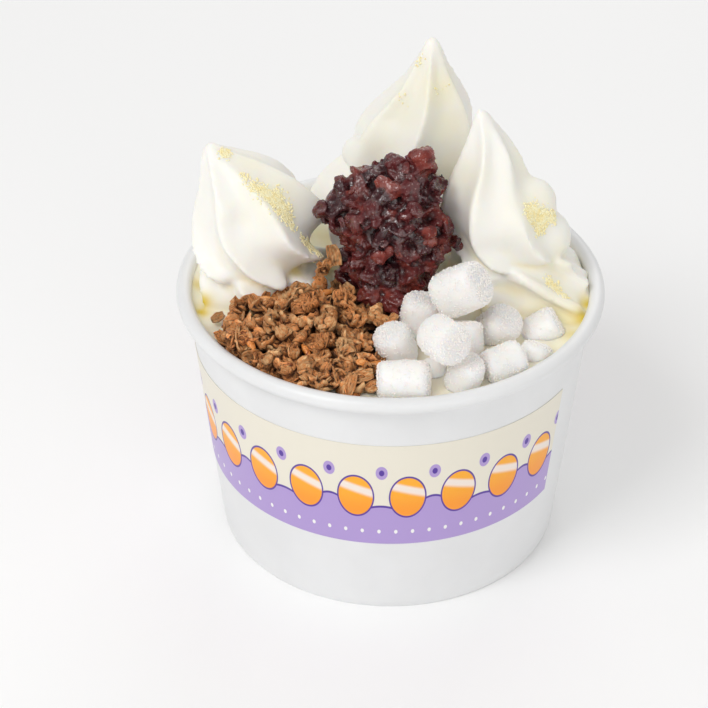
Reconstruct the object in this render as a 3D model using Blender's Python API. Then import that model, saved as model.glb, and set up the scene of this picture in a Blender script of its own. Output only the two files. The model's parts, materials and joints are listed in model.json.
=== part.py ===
# A paper cup of frozen yogurt: three soft-serve swirls on a filled cup, with a scoop of sweet red
# bean, a heap of toasted granola and a pile of small marshmallows. The origin is the middle of the
# foot, +Z is up, and the toppings face -Y.

import math
import random

import bmesh
import bpy
from mathutils import Matrix, Vector, noise
from mathutils.bvhtree import BVHTree

MM = 0.001

# Cup
RIM_RADIUS = 57.5 * MM
CUP_HEIGHT = 76.0 * MM
ROLL_RADIUS = 2.1 * MM
FOOT_RADIUS = 47.0 * MM
WALL_TOP_RADIUS = 54.3 * MM
WALL = 0.9 * MM
FOOT_WALL = 1.6 * MM
BASE_RECESS = 5.0 * MM
CUP_SIDES = 56
ROLL_STEPS = 8

# Label
LABEL_LOW = 24.5 * MM
LABEL_HIGH = 59.5 * MM
LABEL_THICKNESS = 0.25 * MM
LABEL_GAP = 0.2 * MM
LABEL_SIDES = 46
LABEL_FIRST_SIDE = -5

# Fits
GAP = 0.3 * MM
CARVE_GAP = 0.35 * MM
WALL_CLEARANCE = 0.8 * MM
OVER_RIM_GAP = 0.5 * MM
OVER_RIM_RISE = 4.0 * MM
OVER_RIM_EDGE = 1.5 * MM
WELD = 0.004 * MM

# Frozen yogurt: the top of the filling, and how the folds of a swirl are rounded
FILL_FRONT = 72.4 * MM
FILL_BACK = 73.0 * MM
FILL_WAVE = 0.5 * MM
FILL_WAVE_SIZE = 17.0 * MM
FILL_SLOPE_START = -45.0 * MM
FILL_SLOPE_LENGTH = 60.0 * MM
FILL_SIDES = 36
FILL_RINGS = 5
FILL_EDGE_OUT = 0.35 * MM
FILL_FLOOR_GAP = 0.5 * MM
FOLD_SAMPLES = 4
LOBE_SIDES = 12
LOBE_RINGS = 7
WOBBLE = 0.7 * MM
WOBBLE_SIZE = 19.0 * MM
WOBBLE_FULL_RADIUS = 9.0

# Each swirl is a wide coil under a pointed curl. A row is a section in millimetres: height above
# the foot, middle x and y, radius at the folds, and how far the folds have turned from their upper
# angle to their lower one. Each fold has both angles, in degrees. A lobe is a soft round end of a
# fold: its middle and its radius.
SWIRLS = {
    "left": {
        "hollow": 0.12,
        "curl": (
            (77.5, -36.0, 2.0, 7.0, 1.0),
            (79.5, -36.0, 2.2, 13.5, 1.0),
            (82.0, -35.6, 2.6, 17.3, 0.92),
            (85.5, -35.0, 3.0, 18.8, 0.55),
            (90.0, -34.5, 3.0, 18.9, 0.24),
            (94.0, -34.6, 3.0, 18.2, 0.06),
            (99.0, -35.8, 3.3, 15.8, 0.0),
            (104.0, -38.2, 4.0, 12.4, 0.0),
            (108.5, -42.0, 5.0, 8.0, 0.0),
            (111.5, -45.4, 5.7, 4.0, 0.0),
            (113.5, -47.2, 6.0, 1.2, 0.0),
        ),
        "curl_folds": ((-124, -65), (-67, 2), (0, 62), (58, 120), (116, 175), (174, 233)),
        "lobes": (),
        "coil": (
            (58.0, -32.5, 2.0, 21.5, 1.0),
            (68.0, -32.5, 2.0, 21.5, 0.9),
            (74.0, -33.0, 2.0, 21.0, 0.75),
            (78.0, -33.5, 2.3, 19.5, 0.5),
            (80.8, -34.3, 2.6, 16.0, 0.2),
            (82.0, -35.0, 3.0, 9.0, 0.0),
        ),
        "coil_folds": ((-117, -75), (-55, -10), (5, 45), (66, 110), (127, 170), (188, 230)),
    },
    "back": {
        "hollow": 0.12,
        "curl": (
            (84.0, 5.0, 30.0, 8.0, 1.0),
            (87.0, 5.0, 30.5, 15.0, 0.6),
            (92.0, 5.5, 31.0, 18.5, 0.2),
            (98.0, 6.2, 31.0, 19.0, 0.0),
            (103.0, 7.0, 31.0, 17.8, 0.0),
            (107.5, 8.2, 31.0, 15.8, 0.0),
            (112.2, 9.6, 31.0, 12.8, 0.0),
            (118.0, 10.5, 30.5, 8.9, 0.0),
            (122.5, 10.8, 30.3, 6.2, 0.0),
            (127.5, 11.1, 30.0, 3.7, 0.0),
            (130.5, 11.1, 30.0, 2.2, 0.0),
            (132.0, 11.0, 30.0, 0.9, 0.0),
        ),
        "curl_folds": ((-97, -85), (-35, -20), (25, 40), (85, 100), (145, 160), (203, 215)),
        "lobes": (((-9.2, 30.0, 97.0), 5.9),),
        "coil": (
            (60.0, 4.0, 27.0, 25.0, 1.0),
            (72.0, 4.0, 27.0, 26.5, 0.8),
            (82.0, 3.5, 28.0, 26.5, 0.5),
            (87.0, 4.0, 29.0, 24.0, 0.3),
            (91.0, 5.0, 30.0, 20.0, 0.1),
            (94.0, 5.0, 31.0, 12.0, 0.0),
        ),
        "coil_folds": ((-97, -60), (-35, 5), (25, 65), (85, 125), (145, 185), (203, 240)),
    },
    "right": {
        "hollow": 0.12,
        "curl": (
            (82.0, 31.5, 0.0, 7.0, 0.6),
            (84.0, 31.2, 0.5, 12.5, 0.4),
            (87.0, 30.6, 1.0, 15.7, -0.25),
            (91.0, 30.0, 2.0, 16.4, -0.7),
            (95.5, 29.0, 2.0, 15.8, -0.8),
            (100.0, 27.6, 2.4, 14.3, -0.68),
            (104.0, 26.3, 3.0, 12.0, -0.48),
            (108.0, 25.8, 3.5, 10.2, -0.3),
            (113.0, 25.3, 4.0, 7.9, -0.1),
            (117.5, 24.6, 4.5, 5.3, 0.0),
            (121.8, 23.6, 5.0, 2.7, 0.0),
            (124.0, 22.9, 5.0, 1.0, 0.0),
        ),
        "curl_folds": ((-99, -69), (-41, -11), (16, 46), (74, 104), (134, 164), (200, 230)),
        "lobes": (((37.0, 2.2, 98.0), 6.8), ((40.0, 0.6, 88.6), 7.8)),
        "coil": (
            (58.0, 36.0, 0.0, 22.5, 1.0),
            (66.0, 36.0, 1.0, 22.5, 1.0),
            (74.0, 36.0, 1.0, 22.0, 1.0),
            (77.0, 35.0, 1.0, 20.5, 0.85),
            (80.0, 33.0, 1.0, 18.5, 0.65),
            (84.0, 31.5, 1.5, 16.5, 0.35),
            (86.5, 30.0, 2.0, 13.5, 0.0),
            (87.5, 30.0, 2.0, 7.0, 0.0),
        ),
        "coil_folds": ((-90, -52), (-32, -18), (25, 35), (85, 95), (150, 160), (212, 240)),
    },
}

# Red bean: a tall mound on a smaller one, with three lobes, in millimetres, and beans on all
BEAN_MOUNDS = (
    {"centre": (-0.3, -2.5, 95.0), "radii": (14.0, 13.2, 15.8), "beans": 40},
    {"centre": (-1.5, -8.0, 79.0), "radii": (11.0, 11.0, 12.0), "beans": 18},
    {"centre": (-10.8, -3.0, 100.0), "radii": (7.6, 6.6, 6.6), "beans": 3},
    {"centre": (5.6, -2.0, 105.6), "radii": (6.6, 6.6, 6.4), "beans": 3},
    {"centre": (10.8, -5.6, 91.5), "radii": (8.0, 7.0, 7.6), "beans": 3},
)
BEAN_LENGTH = (7.0 * MM, 10.0 * MM)
BEAN_SLIMNESS = (0.68, 0.80)
BEAN_RISE = (-0.45, 0.25)
BEAN_LEAN = 0.5
BEAN_SEED = 11
MOUND_SIDES = 16
MOUND_RINGS = 8

# Granola: a flat heap that leans on the yogurt, with grains and small clusters on it
HEAP_CENTRE = Vector((-19.5, -30.0, 69.0)) * MM
HEAP_RADII = Vector((28.5, 25.0, 7.0)) * MM
HEAP_TILT = 7.0
HEAP_SIDES = 22
HEAP_RINGS = 8
HEAP_WALL_GAP = 0.3 * MM
GRAIN_LENGTH = (5.5 * MM, 9.0 * MM)
GRAIN_SLIMNESS = (0.48, 0.74)
GRAIN_FLATNESS = (0.7, 1.0)
GRAIN_COUNT = 68
GRAIN_WALL_GAP = 0.5 * MM
GRAIN_RISE = (0.2, 0.9)
GRAIN_SIDES = 5
GRAIN_RINGS = ((-0.62, 0.74), (0.0, 1.0), (0.62, 0.74))
GRAIN_BEND = 0.44
GRAIN_TIP_DROP = 0.3
GRAIN_LEAN = 0.9
GRAIN_SPREAD = 0.97
GRAIN_TURN = 0.25
GRAIN_SEED = 5
STACK_EVERY = 3
STACK_RISE = 1.3
STACK_TURN = (0.8, 2.2)
SMALLER = 0.72

# Marshmallows, in millimetres and degrees: middle, radius, length, heading and tilt of the axis
MARSHMALLOW_ROUND = 1.6
MARSHMALLOW_SIDES = 12
MARSHMALLOWS = (
    {"middle": (17.2, -25.2, 88.4), "radius": 6.4, "length": 12.6, "heading": -20, "tilt": 35},
    {"middle": (7.4, -22.3, 79.2), "radius": 5.3, "length": 10.6, "heading": 30, "tilt": 80},
    {"middle": (2.2, -34.2, 75.6), "radius": 5.2, "length": 10.0, "heading": 200, "tilt": 72},
    {"middle": (13.4, -44.6, 83.0), "radius": 5.5, "length": 10.6, "heading": -58, "tilt": 12},
    {"middle": (19.5, -30.1, 76.1), "radius": 4.7, "length": 9.2, "heading": 90, "tilt": 60},
    {"middle": (28.6, -24.0, 73.9), "radius": 5.4, "length": 10.4, "heading": -30, "tilt": 50},
    {"middle": (38.6, -20.6, 70.0), "radius": 5.2, "length": 10.2, "heading": 10, "tilt": 30},
    {"middle": (28.2, -39.4, 73.4), "radius": 4.9, "length": 10.8, "heading": 30, "tilt": 5},
    {"middle": (33.9, -29.8, 71.0), "radius": 4.4, "length": 8.6, "heading": 60, "tilt": 50},
    {"middle": (18.6, -43.4, 74.2), "radius": 4.6, "length": 9.2, "heading": -10, "tilt": 75},
    {"middle": (3.9, -45.2, 75.2), "radius": 5.6, "length": 12.6, "heading": -6, "tilt": 4},
    {"middle": (11.5, -38.4, 68.1), "radius": 4.2, "length": 8.0, "heading": 100, "tilt": 20},
)
MARSHMALLOW_LOWEST = 64.5
SETTLE_ROUNDS = 120
SETTLE_DIRECTIONS = 220
SETTLE_GAP = 0.45
SETTLE_STEP = 0.55
SETTLE_WALL_STEP = 0.05
EDGE_SHARE = 0.6


def material(name, colour, roughness):
    made = bpy.data.materials.new(name)
    made.use_nodes = True
    shader = made.node_tree.nodes["Principled BSDF"]
    shader.inputs["Base Color"].default_value = (*colour, 1.0)
    shader.inputs["Roughness"].default_value = roughness
    shader.inputs["Metallic"].default_value = 0.0
    return made


def placed(name, bm, finish, sharp_degrees=40.0):
    bmesh.ops.recalc_face_normals(bm, faces=bm.faces)
    mesh = bpy.data.meshes.new(name)
    bm.to_mesh(mesh)
    bm.free()
    mesh.materials.append(finish)
    mesh.shade_smooth()
    mesh.set_sharp_from_angle(angle=math.radians(sharp_degrees))
    made = bpy.data.objects.new(name, mesh)
    bpy.context.scene.collection.objects.link(made)
    return made


def largest_body(bm):
    """Drops loose scraps and the walls of sealed hollows, so that one solid body is left."""
    unseen = set(bm.faces)
    bodies = []
    while unseen:
        body = {unseen.pop()}
        edge_of_body = list(body)
        while edge_of_body:
            near = {f for e in edge_of_body.pop().edges for f in e.link_faces} - body
            body |= near
            edge_of_body.extend(near)
        unseen -= body
        bodies.append(body)
    keep = max(bodies, key=len)
    bmesh.ops.delete(bm, geom=[f for f in bm.faces if f not in keep], context="FACES")


def joined(target, others, operation):
    """One Boolean of the target with a collection of other objects, applied; the others go."""
    group = bpy.data.collections.new(operation.lower())
    for other in others:
        group.objects.link(other)
    modifier = target.modifiers.new(operation.title(), "BOOLEAN")
    modifier.operation = operation
    modifier.operand_type = "COLLECTION"
    modifier.collection = group
    bpy.context.view_layer.update()
    graph = bpy.context.evaluated_depsgraph_get()
    result = bpy.data.meshes.new_from_object(target.evaluated_get(graph))
    target.modifiers.clear()
    for other in others:
        bpy.data.objects.remove(other)
    bpy.data.collections.remove(group)
    bm = bmesh.new()
    bm.from_mesh(result)
    bmesh.ops.remove_doubles(bm, verts=bm.verts, dist=WELD)
    bmesh.ops.dissolve_degenerate(bm, edges=bm.edges, dist=WELD)
    bmesh.ops.triangulate(bm, faces=bm.faces)
    largest_body(bm)
    bm.to_mesh(result)
    bm.free()
    target.data = result
    return target


def lofted(rings):
    """A closed solid through rings of points, each end closed round its middle."""
    bm = bmesh.new()
    loops = [[bm.verts.new(point) for point in ring] for ring in rings]
    count = len(loops[0])
    for low, high in zip(loops, loops[1:]):
        for i in range(count):
            j = (i + 1) % count
            bm.faces.new((low[i], low[j], high[j], high[i]))
    for loop, flip in ((loops[0], True), (loops[-1], False)):
        middle = bm.verts.new(sum((v.co for v in loop), Vector()) / count)
        for i in range(count):
            trio = (loop[i], loop[(i + 1) % count], middle)
            bm.faces.new(trio[::-1] if flip else trio)
    return bm


def wall_radius(height):
    """Outer radius of the cup's wall at a height above the foot."""
    share = height / (CUP_HEIGHT - 2 * ROLL_RADIUS)
    return FOOT_RADIUS + (WALL_TOP_RADIUS - FOOT_RADIUS) * share


def turned(profile, sides):
    """A profile of (radius, height) points turned once round Z, its ends on the axis."""
    bm = bmesh.new()
    verts = [bm.verts.new((radius, 0.0, height)) for radius, height in profile]
    edges = [bm.edges.new(pair) for pair in zip(verts, verts[1:])]
    bmesh.ops.spin(
        bm,
        geom=verts + edges,
        cent=(0, 0, 0),
        axis=(0, 0, 1),
        angle=math.tau,
        steps=sides,
        use_merge=True,
    )
    bmesh.ops.remove_doubles(bm, verts=bm.verts, dist=WELD)
    return bm


def cup():
    roll_middle = (RIM_RADIUS - ROLL_RADIUS, CUP_HEIGHT - ROLL_RADIUS)
    first = math.pi
    last = -math.acos((WALL_TOP_RADIUS - roll_middle[0]) / ROLL_RADIUS)
    roll = []
    for step in range(ROLL_STEPS + 1):
        angle = first + (last - first) * step / ROLL_STEPS
        radius = roll_middle[0] + ROLL_RADIUS * math.cos(angle)
        roll.append((radius, roll_middle[1] + ROLL_RADIUS * math.sin(angle)))
    floor_top = BASE_RECESS + WALL
    profile = [
        (0.0, floor_top),
        (wall_radius(floor_top) - WALL, floor_top),
        *roll,
        (FOOT_RADIUS, 0.0),
        (FOOT_RADIUS - FOOT_WALL, 0.0),
        (wall_radius(BASE_RECESS) - FOOT_WALL, BASE_RECESS),
        (0.0, BASE_RECESS),
    ]
    paper = material("paper", (0.86, 0.86, 0.86), 0.38)
    return placed("cup", turned(profile, CUP_SIDES), paper)


def label():
    """A thin printed band round most of the wall, its two ends apart at the right."""
    inner = LABEL_GAP
    outer = LABEL_GAP + LABEL_THICKNESS
    corners = (
        (wall_radius(LABEL_LOW) + inner, LABEL_LOW),
        (wall_radius(LABEL_LOW) + outer, LABEL_LOW),
        (wall_radius(LABEL_HIGH) + outer, LABEL_HIGH),
        (wall_radius(LABEL_HIGH) + inner, LABEL_HIGH),
    )
    side = math.tau / CUP_SIDES
    start = Matrix.Rotation(LABEL_FIRST_SIDE * side, 3, "Z")
    bm = bmesh.new()
    face = bm.faces.new([bm.verts.new(start @ Vector((r, 0, z))) for r, z in corners])
    bmesh.ops.spin(
        bm,
        geom=[face, *face.edges, *face.verts],
        cent=(0, 0, 0),
        axis=(0, 0, 1),
        angle=-LABEL_SIDES * side,
        steps=LABEL_SIDES,
    )
    return placed("label", bm, material("label", (0.84, 0.79, 0.71), 0.45))


def room(height):
    """How far from the axis the food may reach at a height: inside the wall, and over the rim."""
    inside = wall_radius(min(height, CUP_HEIGHT - 2 * ROLL_RADIUS)) - WALL - WALL_CLEARANCE
    over = (height - CUP_HEIGHT - OVER_RIM_GAP) / OVER_RIM_RISE
    share = min(max(over, 0.0), 1.0)
    return inside + (RIM_RADIUS - OVER_RIM_EDGE - inside) * share


def kept_in(point, slack=0.0):
    """The point, moved towards the axis where it would meet the cup."""
    reach = math.hypot(point.x, point.y)
    most = room(point.z) - slack
    if reach <= most:
        return point
    return Vector((point.x * most / reach, point.y * most / reach, point.z))


def section(row, folds, hollow):
    """One star-shaped section of a swirl: a corner at each fold and a shallow hollow between."""
    height, x, y, radius, turned_by = row
    corners = [math.radians(top + (low - top) * turned_by) for top, low in folds]
    middle = Vector((x, y, height)) * MM
    ring = []
    for first, second in zip(corners, [*corners[1:], corners[0] + math.tau]):
        spread = second - first
        for sample in range(FOLD_SAMPLES):
            share = sample / FOLD_SAMPLES
            flat = math.cos(spread / 2) / math.cos((share - 0.5) * spread)
            reach = radius * MM * flat * (1 - hollow * math.sin(math.pi * share))
            angle = first + spread * share
            point = middle + Vector((math.cos(angle), math.sin(angle), 0)) * reach
            soft = min(1, radius / WOBBLE_FULL_RADIUS)
            point += noise.noise_vector(point / WOBBLE_SIZE) * WOBBLE * soft
            ring.append(kept_in(point))
    return ring


def swirl_pieces(cream):
    made = []
    for name, swirl in SWIRLS.items():
        for part in ("coil", "curl"):
            rings = [section(row, swirl[part + "_folds"], swirl["hollow"]) for row in swirl[part]]
            made.append(placed(f"{part}_{name}", lofted(rings), cream))
        for i, (middle, radius) in enumerate(swirl["lobes"]):
            radii = [radius * MM] * 3
            bm = ellipsoid(Vector(middle) * MM, radii, Matrix.Identity(3), LOBE_SIDES, LOBE_RINGS)
            made.append(placed(f"lobe_{name}_{i}", bm, cream))
    return made


def fill_height(x, y):
    """Height of the yogurt between and in front of the swirls."""
    back = min(max((y - FILL_SLOPE_START) / FILL_SLOPE_LENGTH, 0), 1)
    wave = noise.noise(Vector((x, y, 0)) / FILL_WAVE_SIZE) * FILL_WAVE
    return FILL_FRONT + (FILL_BACK - FILL_FRONT) * back + wave


def filling(cream):
    """The yogurt that fills the cup, up to its uneven top."""
    low = BASE_RECESS + WALL + GAP
    edge = room(FILL_FRONT) + FILL_EDGE_OUT
    loops = []
    for reach in (0.5, 1.0):
        radius = (wall_radius(low) - WALL - FILL_FLOOR_GAP) * reach
        loops.append([Vector((radius * c, radius * s, low)) for c, s in compass(FILL_SIDES)])
    for step in range(FILL_RINGS, 0, -1):
        radius = edge * step / FILL_RINGS
        flat = [(radius * c, radius * s) for c, s in compass(FILL_SIDES)]
        loops.append([Vector((x, y, fill_height(x, y))) for x, y in flat])
    return placed("frozen_yogurt", lofted(loops), cream)


def compass(count):
    """Cosine and sine of evenly spread directions."""
    angles = [math.tau * i / count for i in range(count)]
    return [(math.cos(a), math.sin(a)) for a in angles]


def ellipsoid(centre, radii, turn, sides, rings):
    """A closed ellipsoid of rings between two poles, turned and moved into place."""
    bm = bmesh.new()
    bmesh.ops.create_uvsphere(bm, u_segments=sides, v_segments=rings, radius=1.0)
    scale = Matrix.Diagonal((*radii, 1.0))
    bmesh.ops.transform(bm, matrix=Matrix.Translation(centre) @ turn.to_4x4() @ scale, verts=bm.verts)
    return bm


def mounds(name, finish, grow):
    made = []
    for i, mound in enumerate(BEAN_MOUNDS):
        radii = [r * MM + grow for r in mound["radii"]]
        centre = Vector(mound["centre"]) * MM
        bm = ellipsoid(centre, radii, Matrix.Identity(3), MOUND_SIDES, MOUND_RINGS)
        made.append(placed(f"{name}_{i}", bm, finish))
    return made


def heap(name, finish, grow):
    turn = Matrix.Rotation(math.radians(HEAP_TILT), 3, "X")
    radii = [r + grow for r in HEAP_RADII]
    bm = ellipsoid(HEAP_CENTRE, radii, turn, HEAP_SIDES, HEAP_RINGS)
    for vert in bm.verts:
        vert.co = kept_in(vert.co, HEAP_WALL_GAP - grow)
    return placed(name, bm, finish)


def marshmallow(name, spec, finish, grow):
    """A short cylinder with rounded edges."""
    radius = spec["radius"] * MM + grow
    half = spec["length"] * MM / 2 + grow
    edge = MARSHMALLOW_ROUND * MM
    profile = (
        (radius - edge, -half),
        (radius, edge - half),
        (radius, half - edge),
        (radius - edge, half),
    )
    rings = [
        [Vector((r * c, r * s, z)) for c, s in compass(MARSHMALLOW_SIDES)] for r, z in profile
    ]
    bm = lofted(rings)
    turn = axis_of(spec).to_track_quat("Z", "X").to_matrix().to_4x4()
    place = Matrix.Translation(Vector(spec["middle"]) * MM)
    bmesh.ops.transform(bm, matrix=place @ turn, verts=bm.verts)
    return placed(name, bm, finish, 60.0)


def axis_of(spec):
    heading = math.radians(spec["heading"])
    tilt = math.radians(spec["tilt"])
    flat = math.cos(tilt)
    return Vector((math.cos(heading) * flat, math.sin(heading) * flat, math.sin(tilt)))


def spread_directions(count):
    """Directions spread evenly over a sphere, along a golden-angle spiral."""
    golden = math.pi * (3 - math.sqrt(5))
    made = []
    for i in range(count):
        z = 1 - 2 * (i + 0.5) / count
        flat = math.sqrt(1 - z * z)
        made.append(Vector((math.cos(golden * i) * flat, math.sin(golden * i) * flat, z)))
    return made


def reach_of(spec, direction):
    """How far a marshmallow reaches from its middle in a direction, in millimetres."""
    along = abs(direction.dot(axis_of(spec)))
    across = math.sqrt(max(0.0, 1 - along * along))
    edge = MARSHMALLOW_ROUND * EDGE_SHARE
    return (spec["length"] / 2 - edge) * along + (spec["radius"] - edge) * across + edge


def mound_reach(mound, direction):
    return math.sqrt(sum((r * d) ** 2 for r, d in zip(mound["radii"], direction)))


def settled(specs):
    """The marshmallows, pushed apart and off the red bean until none touch."""
    directions = spread_directions(SETTLE_DIRECTIONS)
    piled = [dict(spec, middle=Vector(spec["middle"])) for spec in specs]
    reach = [[reach_of(spec, d) for d in directions] for spec in piled]
    bean = [
        (Vector(mound["centre"]), [mound_reach(mound, d) for d in directions])
        for mound in BEAN_MOUNDS
    ]

    def shortfall(apart, first, second):
        gaps = [(d.dot(apart) - a - b, d) for d, a, b in zip(directions, first, second)]
        widest, direction = max(gaps, key=lambda pair: pair[0])
        return SETTLE_GAP - widest, direction

    for _ in range(SETTLE_ROUNDS):
        moved = False
        for i, spec in enumerate(piled):
            for j in range(i):
                short, away = shortfall(spec["middle"] - piled[j]["middle"], reach[i], reach[j])
                if short > 0:
                    spec["middle"] += away * short * SETTLE_STEP
                    piled[j]["middle"] -= away * short * SETTLE_STEP
                    moved = True
            for centre, bean_reach in bean:
                short, away = shortfall(spec["middle"] - centre, reach[i], bean_reach)
                if short > 0:
                    spec["middle"] += away * short
                    moved = True
            middle = spec["middle"]
            out = Vector((middle.x, middle.y, 0)).normalized()
            excess = math.hypot(middle.x, middle.y) + reach_of(spec, out) - room(middle.z * MM) / MM
            if excess > 0:
                spec["middle"] -= out * (excess + SETTLE_WALL_STEP)
                moved = True
            low = MARSHMALLOW_LOWEST - (middle.z - reach_of(spec, Vector((0, 0, 1))))
            if low > 0:
                spec["middle"].z += low
        if not moved:
            break
    return piled


def tree_of(obj):
    bm = bmesh.new()
    bm.from_mesh(obj.data)
    tree = BVHTree.FromBMesh(bm)
    bm.free()
    return tree


def on_ellipsoid(direction, centre, radii, turn):
    """The point and the outward direction of an ellipsoid along a direction of a unit sphere."""
    point = centre + turn @ Vector([d * r for d, r in zip(direction, radii)])
    outward = turn @ Vector([d / r for d, r in zip(direction, radii)])
    return point, outward.normalized()


def grown_on(core, spots, shape, obstacles, finish, name):
    """Fuses small shapes onto a core, leaving out each that would come too near a neighbour."""
    pieces = []
    for i, spot in enumerate(spots):
        for size in (1.0, SMALLER):
            guard = shape(spot, size, GAP)
            tree = BVHTree.FromBMesh(guard)
            guard.free()
            if any(tree.overlap(other) for other in obstacles):
                continue
            pieces.append(placed(f"{name}_{i}", shape(spot, size, 0.0), finish))
            break
    return joined(core, pieces, "UNION")


def bean_shape(spot, size, grow):
    bm = bmesh.new()
    bmesh.ops.create_icosphere(bm, subdivisions=1, radius=1.0)
    scale = Matrix.Diagonal((*[r * size + grow for r in spot["radii"]], 1.0))
    turn = spot["turn"].to_4x4()
    bmesh.ops.transform(bm, matrix=Matrix.Translation(spot["place"]) @ turn @ scale, verts=bm.verts)
    return bm


def bean_spots():
    rng = random.Random(BEAN_SEED)
    spots = []
    for mound in BEAN_MOUNDS:
        radii = [r * MM for r in mound["radii"]]
        centre = Vector(mound["centre"]) * MM
        for direction in spread_directions(mound["beans"]):
            point, outward = on_ellipsoid(direction, centre, radii, Matrix.Identity(3))
            long = rng.uniform(*BEAN_LENGTH) / 2
            wide = long * rng.uniform(*BEAN_SLIMNESS)
            spin = Matrix.Rotation(rng.uniform(0, math.pi), 3, "Z")
            lean = Matrix.Rotation(rng.uniform(-BEAN_LEAN, BEAN_LEAN), 3, "X")
            turn = outward.to_track_quat("Z", "X").to_matrix() @ spin @ lean
            place = point + outward * wide * rng.uniform(*BEAN_RISE)
            spots.append({"place": place, "turn": turn, "radii": (long, wide, wide)})
    return spots


def grain_shape(spot, size, grow):
    """A grain as a slim five-sided spindle, a little bent."""
    long, wide, thick = [r * size + grow for r in spot["radii"]]
    rings = []
    for along, girth in GRAIN_RINGS:
        bend = Vector((0, 0, -GRAIN_BEND * thick * along * along))
        ring = [
            Vector((along * long, c * wide * girth, s * thick * girth)) + bend
            for c, s in compass(GRAIN_SIDES)
        ]
        rings.append(ring)
    bm = lofted(rings)
    bm.verts.ensure_lookup_table()
    for pole, end in ((bm.verts[-2], -1), (bm.verts[-1], 1)):
        pole.co = Vector((end * long, 0, -GRAIN_TIP_DROP * thick))
    turn = spot["turn"].to_4x4()
    bmesh.ops.transform(bm, matrix=Matrix.Translation(spot["place"]) @ turn, verts=bm.verts)
    return bm


def grain_spots():
    rng = random.Random(GRAIN_SEED)
    turn = Matrix.Rotation(math.radians(HEAP_TILT), 3, "X")
    golden = math.pi * (3 - math.sqrt(5))
    spots = []
    for i in range(GRAIN_COUNT):
        out = math.sqrt((i + 0.5) / GRAIN_COUNT) * GRAIN_SPREAD
        angle = golden * i + rng.uniform(-GRAIN_TURN, GRAIN_TURN)
        up = math.sqrt(1 - out * out)
        direction = Vector((math.cos(angle) * out, math.sin(angle) * out, up))
        point, outward = on_ellipsoid(direction, HEAP_CENTRE, HEAP_RADII, turn)
        long = rng.uniform(*GRAIN_LENGTH) / 2
        wide = long * rng.uniform(*GRAIN_SLIMNESS)
        thick = wide * rng.uniform(*GRAIN_FLATNESS)
        spin = Matrix.Rotation(rng.uniform(0, math.tau), 3, "Z")
        lean = Matrix.Rotation(rng.uniform(-GRAIN_LEAN, GRAIN_LEAN), 3, "Y")
        facing = (outward + Vector((0, 0, 1))).normalized().to_track_quat("Z", "X").to_matrix()
        if math.hypot(point.x, point.y) > room(point.z) - long:
            round_wall = Matrix.Rotation(math.atan2(point.y, point.x) + math.pi / 2, 3, "Z")
            facing = round_wall
            spin = Matrix.Rotation(rng.uniform(-GRAIN_TURN, GRAIN_TURN), 3, "Z")
        rise = outward * thick * rng.uniform(*GRAIN_RISE)
        place = kept_in(point + rise, wide + GRAIN_WALL_GAP)
        spots.append({"place": place, "turn": facing @ spin @ lean, "radii": (long, wide, thick)})
        if i % STACK_EVERY == 0:
            above = place + outward * thick * STACK_RISE
            cross = Matrix.Rotation(rng.uniform(*STACK_TURN), 3, "Z")
            spots.append({"place": above, "turn": facing @ cross @ spin, "radii": (long, wide, thick)})
    return spots


def main():
    for old in list(bpy.data.objects):
        bpy.data.objects.remove(old)
    cream = material("frozen_yogurt", (0.9, 0.87, 0.79), 0.4)
    paste = material("red_bean", (0.12, 0.03, 0.03), 0.3)
    toasted = material("granola", (0.42, 0.2, 0.08), 0.6)
    sugar = material("marshmallow", (0.88, 0.8, 0.75), 0.7)

    bowl = cup()
    label()
    piled = settled(MARSHMALLOWS)
    sweets = [
        marshmallow(f"marshmallow_{i + 1:02d}", spec, sugar, 0.0) for i, spec in enumerate(piled)
    ]
    yogurt = joined(filling(cream), swirl_pieces(cream), "UNION")
    toppings = [
        marshmallow(f"hollow_{i}", spec, cream, CARVE_GAP) for i, spec in enumerate(piled)
    ]
    toppings += mounds("bed", cream, CARVE_GAP)
    toppings.append(heap("heap_bed", cream, CARVE_GAP))
    yogurt = joined(yogurt, toppings, "DIFFERENCE")

    bean, *lobes = mounds("red_bean", paste, 0.0)
    bean.name = "red_bean"
    bean = joined(bean, lobes, "UNION")
    oats = heap("granola", toasted, 0.0)
    near_oats = mounds("bean_side", toasted, CARVE_GAP)
    near_oats += [
        marshmallow(f"side_{i}", spec, toasted, CARVE_GAP) for i, spec in enumerate(piled)
    ]
    oats = joined(oats, near_oats, "DIFFERENCE")

    still = [tree_of(obj) for obj in (bowl, yogurt, *sweets)]
    bean = grown_on(bean, bean_spots(), bean_shape, [*still, tree_of(oats)], paste, "bean")
    grown_on(oats, grain_spots(), grain_shape, [*still, tree_of(bean)], toasted, "grain")


main()
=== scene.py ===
import json
import math
import random

import bmesh
import bpy
import numpy as np
from mathutils import Euler, Matrix, Vector, noise
from mathutils.bvhtree import BVHTree
from mathutils.kdtree import KDTree

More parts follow.
